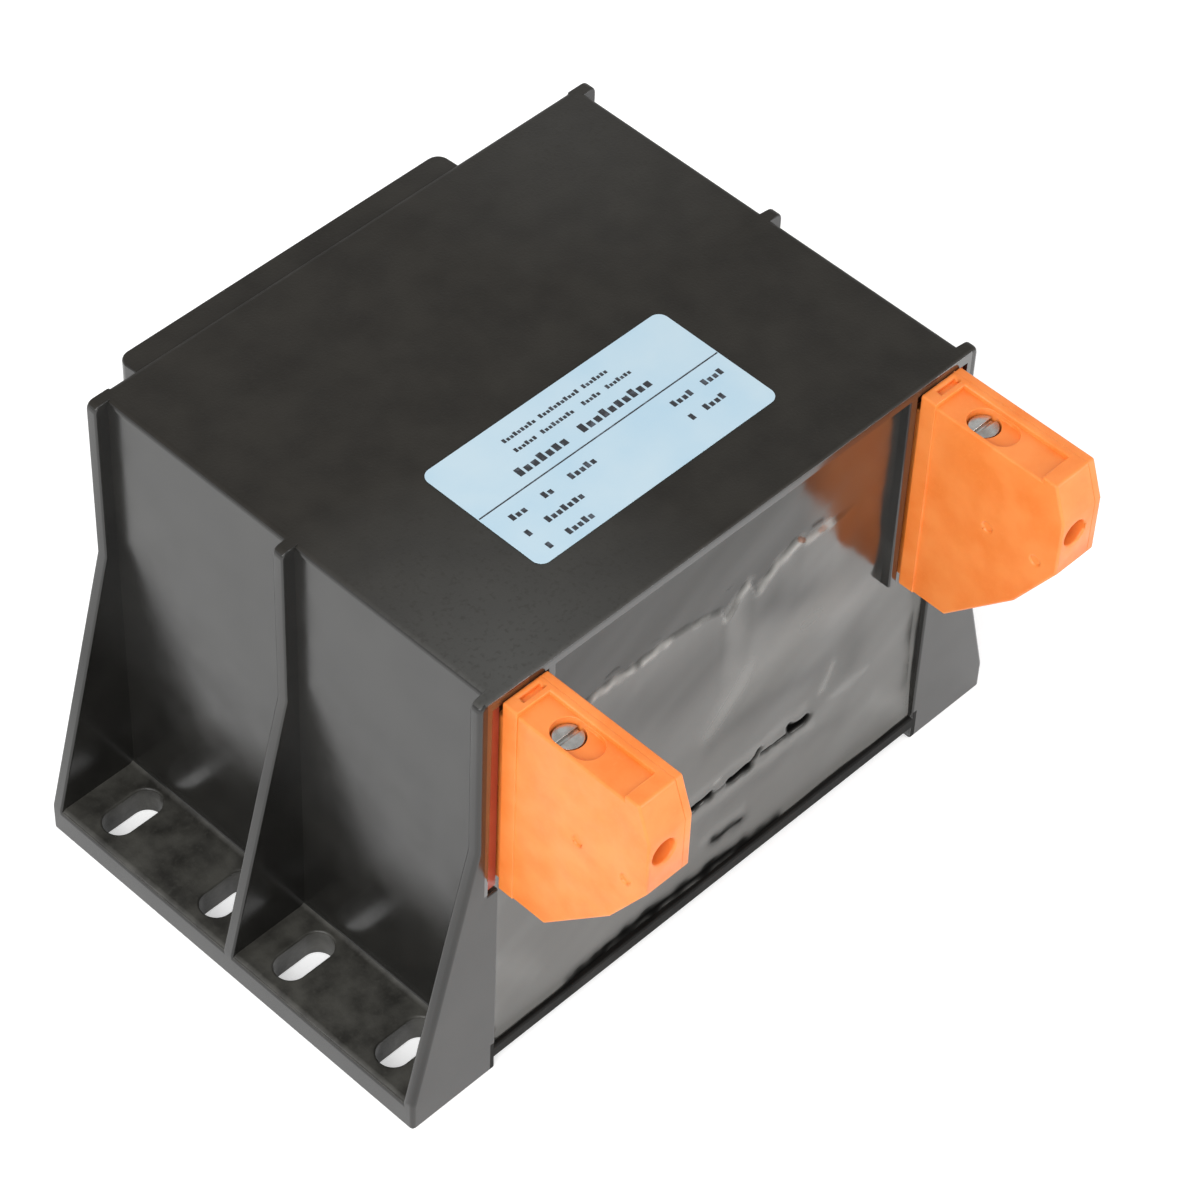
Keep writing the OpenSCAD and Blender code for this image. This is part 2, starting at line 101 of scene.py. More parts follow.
class Grade(Enum):
    """Surface grades of the pot's mould and one of painted shade, in the order of its material slots."""

    SATIN = 0
    GRAINED = 1
    SPARKED = 2
    GLOSSED = 3
    BUFFED = 4
    LIP_SHADE = 5


def smooth_step(low: float, high: float, value: float) -> float:
    """Rise softly from 0 to 1.

    Args:
        low: Value at which the rise starts.
        high: Value at which it ends.
        value: Value to look up.

    Returns:
        A number from 0 to 1.
    """
    share = min(1.0, max(0.0, (value - low) / (high - low)))
    return share * share * (3.0 - 2.0 * share)


def bell(distance: float, width: float) -> float:
    """Round bump of height 1 that has faded at about twice its width."""
    return math.exp(-((distance / width) ** 2))


class Graph:
    """Node tree of one material, with short calls for what the finishes share."""

    def __init__(self, name: str) -> None:
        """Start a material with one principled shader.

        Args:
            name: Name of the material.
        """
        self.material = bpy.data.materials.new(name)
        self.material.use_nodes = True
        self.nodes = self.material.node_tree.nodes
        self.links = self.material.node_tree.links
        self.nodes.clear()
        self.shader = self.nodes.new("ShaderNodeBsdfPrincipled")
        output = self.nodes.new("ShaderNodeOutputMaterial")
        self.links.new(self.shader.outputs["BSDF"], output.inputs["Surface"])
        self.place = self.nodes.new("ShaderNodeTexCoord").outputs["Object"]

    def fix(self, socket: str, value: float | tuple[float, ...]) -> None:
        """Set a value of the shader that is the same all over."""
        self.shader.inputs[socket].default_value = value

    def feed(self, socket: str, source: Socket) -> None:
        """Drive a value of the shader that varies over the surface."""
        self.links.new(source, self.shader.inputs[socket])

    def roughen(self, marks: Socket, roughness: float, spread: float) -> None:
        """Vary the roughness with some marks, by a spread to both sides."""
        low, high = roughness - spread, roughness + spread
        self.feed("Roughness", self.span(marks, low, high, *MARK_SPAN))

    def stretched(self, scale: Place, turn: float) -> Socket:
        """Place that is turned about Y and then drawn out along its own axes.

        Args:
            scale: Stretch along each axis.
            turn: Turn about Y in degrees.

        Returns:
            The stretched place.
        """
        node = self.nodes.new("ShaderNodeMapping")
        node.vector_type = "TEXTURE"
        node.inputs["Rotation"].default_value = (0.0, math.radians(turn), 0.0)
        node.inputs["Scale"].default_value = scale
        self.links.new(self.place, node.inputs["Vector"])
        return node.outputs["Vector"]

    def noise(self, size: float, detail: float = 2.0, where: Socket | None = None) -> Socket:
        """Cloudy noise.

        Args:
            size: Size of a cloud in millimetres.
            detail: How many finer layers it has.
            where: Place to read it at, or None for the piece's own place.

        Returns:
            The noise from 0 to 1.
        """
        node = self.nodes.new("ShaderNodeTexNoise")
        node.inputs["Scale"].default_value = 1.0 / (size * MM)
        node.inputs["Detail"].default_value = detail
        self.links.new(where or self.place, node.inputs["Vector"])
        return node.outputs[0]

    def cells(self, size: float) -> Socket:
        """Scattered cells.

        Args:
            size: Size of a cell in millimetres.

        Returns:
            Distance to the middle of the nearest cell.
        """
        node = self.nodes.new("ShaderNodeTexVoronoi")
        node.inputs["Scale"].default_value = 1.0 / (size * MM)
        self.links.new(self.place, node.inputs["Vector"])
        return node.outputs["Distance"]

    def near(self, centre: Place, reach: float, most: float) -> Socket:
        """Nearness to a place.

        Args:
            centre: The place, in millimetres.
            reach: Distance at which the nearness has fallen to 0.
            most: Nearness at the place itself.

        Returns:
            The nearness.
        """
        node = self.nodes.new("ShaderNodeVectorMath")
        node.operation = "DISTANCE"
        self.links.new(self.place, node.inputs[0])
        node.inputs[1].default_value = Vector(centre) * MM
        return self.span(node.outputs["Value"], most, 0.0, end=reach * MM)

    def painted(self, name: str) -> Socket:
        """Read a value that a piece carries at its points.

        Args:
            name: Name of the value.

        Returns:
            The value from 0 to 1.
        """
        node = self.nodes.new("ShaderNodeAttribute")
        node.attribute_name = name
        return node.outputs["Fac"]

    def bands(self, pitch: float, axis: str, waver: float = 0.0) -> Socket:
        """Even bands across one axis.

        Args:
            pitch: Distance from band to band in millimetres.
            axis: Axis that the bands cross: X, Y or Z.
            waver: How far the bands waver.

        Returns:
            The bands from 0 to 1.
        """
        node = self.nodes.new("ShaderNodeTexWave")
        node.bands_direction = axis
        node.inputs["Scale"].default_value = WAVE_LENGTH / (pitch * MM)
        node.inputs["Distortion"].default_value = waver
        self.links.new(self.place, node.inputs["Vector"])
        return node.outputs["Fac"]

    def span(self, value: Socket, low: float, high: float, start: float = 0.0, end: float = 1.0) -> Socket:
        """Stretch part of a value's range to a new one, and hold it at the ends.

        Args:
            value: Value to stretch.
            low: Result at the start.
            high: Result at the end.
            start: Value that gives the low result.
            end: Value that gives the high result.

        Returns:
            The stretched value.
        """
        node = self.nodes.new("ShaderNodeMapRange")
        node.inputs["From Min"].default_value = start
        node.inputs["From Max"].default_value = end
        node.inputs["To Min"].default_value = low
        node.inputs["To Max"].default_value = high
        self.links.new(value, node.inputs["Value"])
        return node.outputs["Result"]

    def join(self, first: Socket, second: Socket, how: str = "ADD") -> Socket:
        """Join two values by one sum.

        Args:
            first: First value.
            second: Second value.
            how: Name of the sum.

        Returns:
            The joined value.
        """
        node = self.nodes.new("ShaderNodeMath")
        node.operation = how
        self.links.new(first, node.inputs[0])
        self.links.new(second, node.inputs[1])
        return node.outputs[0]

    def blend(self, share: Socket, first: Colour | Socket, second: Colour) -> Socket:
        """Mix two colours.

        Args:
            share: Share of the second colour.
            first: First colour, or the socket that gives it.
            second: Second colour.

        Returns:
            The mixed colour.
        """
        node = self.nodes.new("ShaderNodeMix")
        node.data_type = "RGBA"
        by_type = {socket.identifier: socket for socket in node.inputs}
        self.links.new(share, by_type["Factor_Float"])
        if isinstance(first, Socket):
            self.links.new(first, by_type["A_Color"])
        else:
            by_type["A_Color"].default_value = (*first, 1.0)
        by_type["B_Color"].default_value = (*second, 1.0)
        return {socket.identifier: socket for socket in node.outputs}["Result_Color"]

    def emboss(self, height: Socket, depth: float) -> None:
        """Tilt the surface by a height.

        Args:
            height: Height from 0 to 1.
            depth: Depth of that height in millimetres.
        """
        node = self.nodes.new("ShaderNodeBump")
        node.inputs["Distance"].default_value = depth * MM
        self.links.new(height, node.inputs["Height"])
        self.feed("Normal", node.outputs["Normal"])


@dataclass(frozen=True)
class SheenSpot:
    """Spot where painted sheen makes the colour paler. Sizes are in millimetres."""

    centre: Place
    reach: float
    share: float


@dataclass(frozen=True)
class MouldedPlastic:
    """Moulded plastic with a fine grain, slow clouds of tone, handling marks and spots of painted sheen.

    Sizes are in millimetres, but a pore's is in grains and a mark's in clouds.
    """

    name: str
    colour: Colour
    cloud: Colour
    roughness: float
    scuff: float = 0.08
    grain: float = 0.35
    grain_depth: float = 0.01
    cloud_size: float = 14.0
    cloud_span: Point = (0.35, 0.65)
    pore_size: float = 1.6
    pore_share: float = 0.35
    pore_span: Point = (0.55, 0.75)
    mark_size: float = 0.6
    index: float = 1.5
    glow: float = 0.0
    glow_depth: Colour = (1.2, 0.5, 0.2)
    # Spots of painted sheen, and the paler colour that they blend towards.
    sheen_spots: tuple[SheenSpot, ...] = ()
    sheen_colour: Colour = (0.072, 0.072, 0.068)

    def material(self) -> bpy.types.Material:
        """Make the material.

        Returns:
            The new material.
        """
        graph = Graph(self.name)
        graph.fix("IOR", self.index)
        graph.fix("Subsurface Weight", self.glow)
        graph.fix("Subsurface Radius", self.glow_depth)
        graph.fix("Subsurface Scale", MM)
        clouds = graph.span(graph.noise(self.cloud_size, detail=5.0), 0.0, 1.0, *self.cloud_span)
        tone = graph.blend(clouds, self.colour, self.cloud)
        # Painted sheen: the colour is paler near each spot.
        for spot in self.sheen_spots:
            tone = graph.blend(graph.near(spot.centre, spot.reach, spot.share), tone, self.sheen_colour)
        dots = graph.noise(self.pore_size * self.grain, detail=1.0)
        pores = graph.span(dots, 0.0, self.pore_share, *self.pore_span)
        graph.feed("Base Color", graph.blend(pores, tone, self.cloud))
        marks = graph.noise(self.mark_size * self.cloud_size, detail=6.0)
        graph.roughen(marks, self.roughness, self.scuff)
        graph.emboss(graph.noise(self.grain), self.grain_depth)
        return graph.material


@dataclass(frozen=True)
class CastResin:
    """Dark casting resin: glossy, with pale veils drawn out along the way that it flowed.

    Sizes are in millimetres.
    """

    name: str = "cast_resin"
    colour: Colour = (0.0065, 0.0062, 0.0050)
    veil: Colour = (0.028, 0.0275, 0.024)
    # Paler colour of the painted highlight along the shelf's ridge and on the crack's lips, and of paler
    # patches.
    pale_and_highlight: Colour = (0.46, 0.46, 0.44)
    # Dark colour of the painted shade in the crack, over the shelf and along the lower edge, and of the
    # dark patches.
    shade_and_patch_colour: Colour = (0.003, 0.003, 0.003)
    flow_turn: float = -27.0
    flow_size: float = 19.0
    flow_stretch: float = 1.7
    veil_span: Point = (0.40, 0.72)
    gloss: float = 0.13
    dull: float = 0.27
    haze_span: Point = (0.4, 0.75)
    crevice_rough: float = 0.9
    crevice_start: float = 0.5
    sheen: Colour = (1.0, 0.985, 0.94)
    index: float = 1.95
    wet_rise: float = 0.5
    ripple: float = 3.6
    ripple_depth: float = 0.015

    def material(self) -> bpy.types.Material:
        """Make the material.

        Returns:
            The new material.
        """
        graph = Graph(self.name)
        along = graph.stretched((self.flow_stretch, 1.0, 1.0), self.flow_turn)
        veils = graph.span(graph.noise(self.flow_size, 3.0, along), 0.0, 1.0, *self.veil_span)
        tone = graph.blend(veils, self.colour, self.veil)
        # Painted highlight and paler patches lighten the colour; painted shade and dark patches darken it
        # and, through the index, dim its reflection.
        pale, shade_and_patches, wet = (graph.painted(name) for name in PAINTS)
        graph.feed("Base Color", graph.blend(shade_and_patches, graph.blend(pale, tone, self.pale_and_highlight), self.shade_and_patch_colour))
        graph.fix("Specular Tint", (*self.sheen, 1.0))
        smears = graph.noise(self.flow_size, detail=6.0)
        haze = graph.span(smears, self.gloss, self.dull, *self.haze_span)
        rough = graph.span(shade_and_patches, 0.0, self.crevice_rough, start=self.crevice_start)
        graph.feed("Roughness", graph.join(haze, rough))
        bend = graph.span(shade_and_patches, self.index, 1.0)
        graph.feed("IOR", graph.join(bend, graph.span(wet, 0.0, self.wet_rise)))
        graph.emboss(graph.noise(self.ripple, where=along), self.ripple_depth)
        return graph.material


@dataclass(frozen=True)
class LabelFilm:
    """Satin printed film with a faint weave of print dots. Sizes are in millimetres."""

    name: str = "label_film"
    colour: Colour = (0.455, 0.633, 0.753)
    pale: Colour = (0.53, 0.675, 0.762)
    roughness: float = 0.38
    wipe: float = 0.07
    cloud_size: float = 16.0
    cloud_span: Point = (0.35, 0.68)
    dot: float = 0.3
    dot_share: float = 0.25
    dot_reach: float = 0.6
    orange_peel: float = 1.1
    peel_depth: float = 0.004

    def material(self) -> bpy.types.Material:
        """Make the material.

        Returns:
            The new material.
        """
        graph = Graph(self.name)
        clouds = graph.span(graph.noise(self.cloud_size, detail=3.0), 0.0, 1.0, *self.cloud_span)
        tone = graph.blend(clouds, self.colour, self.pale)
        dots = graph.span(graph.cells(self.dot), self.dot_share, 0.0, end=self.dot_reach)
        graph.feed("Base Color", graph.blend(dots, tone, self.pale))
        graph.roughen(graph.noise(self.cloud_size, detail=6.0), self.roughness, self.wipe)
        graph.emboss(graph.noise(self.orange_peel), self.peel_depth)
        return graph.material


@dataclass(frozen=True)
class PrintInk:
    """Dark print with thin places. Sizes are in millimetres."""

    name: str = "print_ink"
    colour: Colour = (0.022, 0.024, 0.030)
    thin: Colour = (0.10, 0.12, 0.15)
    roughness: float = 0.45
    patch: float = 1.2
    thin_span: Point = (0.5, 0.75)

    def material(self) -> bpy.types.Material:
        """Make the material.

        Returns:
            The new material.
        """
        graph = Graph(self.name)
        graph.fix("Roughness", self.roughness)
        patches = graph.span(graph.noise(self.patch, detail=4.0), 0.0, 1.0, *self.thin_span)
        graph.feed("Base Color", graph.blend(patches, self.colour, self.thin))
        return graph.material


@dataclass(frozen=True)
class Metal:
    """Bare or plated metal with fine tool marks and a dull bloom. Sizes are in millimetres."""

    name: str
    colour: Colour
    bloom: Colour
    roughness: float = 0.26
    bare_fall: float = 0.06
    bloom_rise: float = 0.16
    bloom_size: float = 2.4
    bloom_span: Point = (0.4, 0.72)
    mark_pitch: float = 0.16
    mark_axis: str = "X"
    mark_depth: float = 0.004

    def material(self) -> bpy.types.Material:
        """Make the material.

        Returns:
            The new material.
        """
        graph = Graph(self.name)
        graph.fix("Metallic", 1.0)
        patches = graph.span(graph.noise(self.bloom_size, detail=5.0), 0.0, 1.0, *self.bloom_span)
        graph.feed("Base Color", graph.blend(patches, self.colour, self.bloom))
        low, high = self.roughness - self.bare_fall, self.roughness + self.bloom_rise
        graph.feed("Roughness", graph.span(patches, low, high))
        graph.emboss(graph.bands(self.mark_pitch, self.mark_axis, waver=3.0), self.mark_depth)
        return graph.material


@dataclass(frozen=True)
class LaidTurns:
    """Layers laid side by side: laminations, turns of wire or tape. Sizes are in millimetres."""

    name: str
    colour: Colour
    groove: Colour
    pitch: float
    axis: str
    depth: float
    roughness: float
    metallic: float = 0.0
    groove_end: float = 0.45
    patch: float = 6.0
    patch_share: float = 0.4
    patch_span: Point = (0.45, 0.75)
    scuff: float = 0.08

    def material(self) -> bpy.types.Material:
        """Make the material.

        Returns:
            The new material.
        """
        graph = Graph(self.name)
        graph.fix("Metallic", self.metallic)
        turns = graph.bands(self.pitch, self.axis, waver=0.15)
        tone = graph.blend(graph.span(turns, 1.0, 0.0, end=self.groove_end), self.colour, self.groove)
        patches = graph.noise(self.patch, detail=5.0)
        dark_patches = graph.span(patches, 0.0, self.patch_share, *self.patch_span)
        graph.feed("Base Color", graph.blend(dark_patches, tone, self.groove))
        graph.roughen(patches, self.roughness, self.scuff)
        graph.emboss(turns, self.depth)
        return graph.material


@dataclass(frozen=True)
class Woven:
    """Fibre that is woven into a sleeve or pressed into a board.

    Sizes are in millimetres, but the fluff's is in pitches.
    """

    name: str
    colour: Colour
    gap: Colour
    pitch: float
    depth: float
    roughness: float = 0.85
    sheen: float = 0.2
    fluff_size: float = 0.4
    gap_span: Point = (0.15, 0.6)

    def material(self) -> bpy.types.Material:
        """Make the material.

        Returns:
            The new material.
        """
        graph = Graph(self.name)
        graph.fix("Roughness", self.roughness)
        graph.fix("Sheen Weight", self.sheen)
        warp, weft = (graph.bands(self.pitch, axis, waver=1.0) for axis in "XZ")
        fluff = graph.noise(self.fluff_size * self.pitch, detail=4.0)
        height = graph.join(graph.join(warp, weft, "MAXIMUM"), fluff, "MULTIPLY")
        gaps = graph.span(height, 1.0, 0.0, *self.gap_span)
        graph.feed("Base Color", graph.blend(gaps, self.colour, self.gap))
        graph.emboss(height, self.depth)
        return graph.material


Finish = MouldedPlastic | Metal | LaidTurns | Woven

POT_SATIN = MouldedPlastic(
    "pot_satin", (0.0105, 0.0102, 0.0092), (0.0165, 0.0160, 0.0142), roughness=0.22, scuff=0.05,
    grain=0.30, grain_depth=0.003, index=1.56,
)
POT_GRAINED = MouldedPlastic(
    "pot_grained", (0.0200, 0.0190, 0.0160), (0.0640, 0.0620, 0.0540), roughness=0.46, scuff=0.07,
    grain=0.55, grain_depth=0.035, cloud_size=6.0,
)
# The top gets painted sheen: paler towards its front-left corner, and faintly towards its back-right one.
POT_SPARKED = MouldedPlastic(
    "pot_sparked", (0.0150, 0.0130, 0.0102), (0.0220, 0.0195, 0.0155), roughness=0.52, scuff=0.06,
    grain=0.50, grain_depth=0.05, cloud_size=9.0, index=1.33,
    sheen_spots=(SheenSpot((-50.0, -44.0, 98.0), 46.0, 0.85), SheenSpot((46.0, 40.0, 98.0), 40.0, 0.28)),
)
POT_GLOSSED = MouldedPlastic(
    "pot_glossed", (0.0105, 0.0100, 0.0088), (0.0165, 0.0155, 0.0135), roughness=0.16, scuff=0.04,
    grain=0.30, grain_depth=0.003, index=2.45,
)
POT_BUFFED = replace(POT_SATIN, name="pot_buffed", roughness=0.18, index=1.85)
# Painted shade for the lip under the resin: darker, rougher and less glossy than the satin.
POT_LIP_SHADE = MouldedPlastic(
    "pot_lip_shade", (0.0040, 0.0038, 0.0034), (0.0095, 0.0090, 0.0080), roughness=0.60, scuff=0.06,
    grain=0.50, grain_depth=0.03, cloud_size=9.0, index=1.25,
)
TERMINAL_ORANGE = MouldedPlastic(
    "terminal_orange", (0.90, 0.228, 0.034), (0.96, 0.285, 0.060), roughness=0.42, scuff=0.08,
    grain=0.40, grain_depth=0.006, cloud_size=7.0, glow=0.12,
)
# Painted shade: the terminals' orange darkened to the deep red that it takes in the narrow channel.
SKIRT_SHADED = replace(
    TERMINAL_ORANGE, name="skirt_shaded", colour=(0.360, 0.058, 0.028), cloud=(0.430, 0.080, 0.040),
    roughness=0.34, glow=0.0,
)
BOBBIN_NATURAL = MouldedPlastic(
    "bobbin_natural", (0.78, 0.74, 0.62), (0.84, 0.81, 0.70), roughness=0.45, glow=0.1,
    glow_depth=(1.0, 0.8, 0.6),
)
SCREW_ZINC = Metal("screw_zinc", (0.62, 0.62, 0.60), (0.36, 0.36, 0.34), roughness=0.22)
CAGE_ZINC = Metal("cage_zinc", (0.72, 0.72, 0.73), (0.55, 0.55, 0.54), roughness=0.32, mark_axis="Z")
BAR_TINNED = Metal("bar_tinned", (0.78, 0.70, 0.52), (0.66, 0.60, 0.50), roughness=0.30, mark_axis="Y")
STRAP_STEEL = Metal("strap_steel", (0.52, 0.54, 0.57), (0.40, 0.41, 0.42), roughness=0.34, mark_axis="Y")
CORE_SHEETS = LaidTurns(
    "core_sheets", (0.30, 0.31, 0.33), (0.09, 0.09, 0.10), pitch=0.5, axis="Y", depth=0.05,
    roughness=0.42, metallic=0.9,
)
COPPER_TURNS = LaidTurns(
    "copper_turns", (0.58, 0.22, 0.08), (0.20, 0.06, 0.02), pitch=1.4, axis="Z", depth=0.4,
    roughness=0.28, metallic=0.85,
)
COPPER_LEAD = Metal("copper_lead", (0.66, 0.27, 0.11), (0.52, 0.20, 0.08), roughness=0.26, mark_axis="Z")
WRAP_TAPE = LaidTurns(
    "wrap_tape", (0.78, 0.60, 0.16), (0.56, 0.42, 0.10), pitch=11.0, axis="Z", depth=0.08, roughness=0.30,
)
SPACER_BOARD = Woven("spacer_board", (0.50, 0.35, 0.19), (0.36, 0.24, 0.12), pitch=0.5, depth=0.03)
SLEEVE_BRAID = Woven("sleeve_braid", (0.84, 0.82, 0.77), (0.48, 0.46, 0.42), pitch=0.7, depth=0.15)


@contextmanager
def reshaping(mesh: bpy.types.Mesh) -> Iterator[bmesh.types.BMesh]:
    """Open a mesh as a form, and write the form back at the end.

    Args:
        mesh: Mesh to change.

    Yields:
        The form, in metres.
    """
    form = bmesh.new()
    form.from_mesh(mesh)
    yield form
    form.to_mesh(mesh)
    form.free()


def add_piece(name: str, mesh: bpy.types.Mesh) -> bpy.types.Object:
    """Add a piece with a mesh of its own to the scene.

    Args:
        name: Name of the piece.
        mesh: Its mesh, in metres.

    Returns:
        The new piece.
    """
    piece = bpy.data.objects.new(name, mesh)
    bpy.context.scene.collection.objects.link(piece)
    return piece


def copy_node(node: str, name: str, cuts: Iterable[float] = ()) -> bpy.types.Object:
    """Copy a node of the frame as a clean mesh: welded, and with one face to each flat.

    Args:
        node: Node to copy.
        name: Name of the new piece.
        cuts: Places along the width, in millimetres, at which flats with holes are parted.

    Returns:
        The new piece, at the frame's place.
    """
    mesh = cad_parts[node].data.copy()
    mesh.name = name
    mesh.materials.clear()
    with reshaping(mesh) as form:
        bmesh.ops.remove_doubles(form, verts=form.verts, dist=WELD_GAP)
        for place in cuts:
            cut = bmesh.ops.bisect_plane(
                form, geom=[*form.verts, *form.edges, *form.faces], dist=WELD_GAP,
                plane_co=(place * MM, 0.0, 0.0), plane_no=(1.0, 0.0, 0.0),
            )
            for edge in cut["geom_cut"]:
                if isinstance(edge, bmesh.types.BMEdge):
                    edge.seam = True
        bmesh.ops.dissolve_limit(
            form, angle_limit=FLAT_ANGLE, verts=form.verts, edges=form.edges, delimit={"SEAM"}
        )
    return add_piece(name, mesh)


def new_piece(name: str, form: bmesh.types.BMesh) -> bpy.types.Object:
    """Make a piece from a finished form, which is freed.

    Args:
        name: Name of the piece.
        form: Its form, in metres.

    Returns:
        The new piece.
    """
    mesh = bpy.data.meshes.new(name)
    form.to_mesh(mesh)
    form.free()
    return add_piece(name, mesh)


def add_block(form: bmesh.types.BMesh, low: Vector, high: Vector) -> None:
    """Add a box to a form, from its lowest to its highest corner."""
    for vert in bmesh.ops.create_cube(form, size=1.0)["verts"]:
        vert.co = [high[i] if vert.co[i] > 0.0 else low[i] for i in range(3)]


def cut_faces(
    form: bmesh.types.BMesh, faces: list[bmesh.types.BMFace], axis: int, places: list[float]
) -> list[bmesh.types.BMFace]:
    """Cut faces into strips across one axis.

    Args:
        form: Form that holds the faces.
        faces: Faces to cut.
        axis: Number of the axis that the cuts cross.
        places: Rising places of the cuts in millimetres.

    Returns:
        All the strips.
    """
    normal = Vector([float(i == axis) for i in range(3)])
    done: list[bmesh.types.BMFace] = []
    rest = faces
    for place in places:
        parts = {part for face in rest for part in (face, *face.edges, *face.verts)}
        cut = bmesh.ops.bisect_plane(
            form, geom=list(parts), dist=WELD_GAP, plane_co=normal * place * MM, plane_no=normal
        )
        pieces = [part for part in cut["geom"] if isinstance(part, bmesh.types.BMFace)]
        rest = [face for face in pieces if face.calc_center_median()[axis] > place * MM]
        done += [face for face in pieces if face.calc_center_median()[axis] <= place * MM]
    return done + rest


def middle_of(edge: bmesh.types.BMEdge) -> Vector:
    """Middle of an edge, in metres."""
    return (edge.verts[0].co + edge.verts[1].co) / 2


def round_edges(
    piece: bpy.types.Object, radius: float, share: EdgeShare | None = None, steps: int = 3
) -> None:
    """Round the sharp outer edges of a piece, with its flats shaded flat.

    Args:
        piece: Piece to round.
        radius: Radius in millimetres.
        share: Gives each sharp edge its share of that radius, or None for the whole.
        steps: Number of faces across each rounding.
    """
    with reshaping(piece.data) as form:
        weight = form.edges.layers.float.new("bevel_weight_edge")
        for edge in form.edges:
            if edge.calc_face_angle(0.0) > SHARP_ANGLE:
                if edge.is_convex:
                    edge[weight] = share(edge) if share else 1.0
                edge.smooth = edge[weight] > 0.0
        for face in form.faces:
            face.smooth = True
    rounding = piece.modifiers.new("rounding", "BEVEL")
    rounding.limit_method = "WEIGHT"
    rounding.width = radius * MM
    rounding.segments = steps
    rounding.use_clamp_overlap = False
    shading = piece.modifiers.new("shading", "WEIGHTED_NORMAL")
    shading.keep_sharp = True


def seat(piece: bpy.types.Object, nodes: Iterable[str] = ()) -> None:
    """Set a piece on the part's one body, and name what it stands for.

    Args:
        piece: Piece in its place.
        nodes: Nodes of the frame that the piece replaces.
    """
    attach(piece, BODY)
    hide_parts(*nodes)
    stands_for = ", ".join(nodes) or "itself"
    log.info("%s: %d faces, stands for %s", piece.name, len(piece.data.polygons), stands_for)


def paint(piece: bpy.types.Object, *materials: bpy.types.Material) -> None:
    """Give a piece its materials.

    Args:
        piece: Piece to paint.
        materials: Its materials, in the order of its slots.
    """
    piece.data.materials.clear()
    for material in materials:
        piece.data.materials.append(material)


def keep(node: str, material: bpy.types.Material) -> None:
    """Leave a node of the frame in its own form and give it a finish."""
    paint(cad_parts[node], material)
    log.info("%s: keeps its form, finish %s", node, material.name)


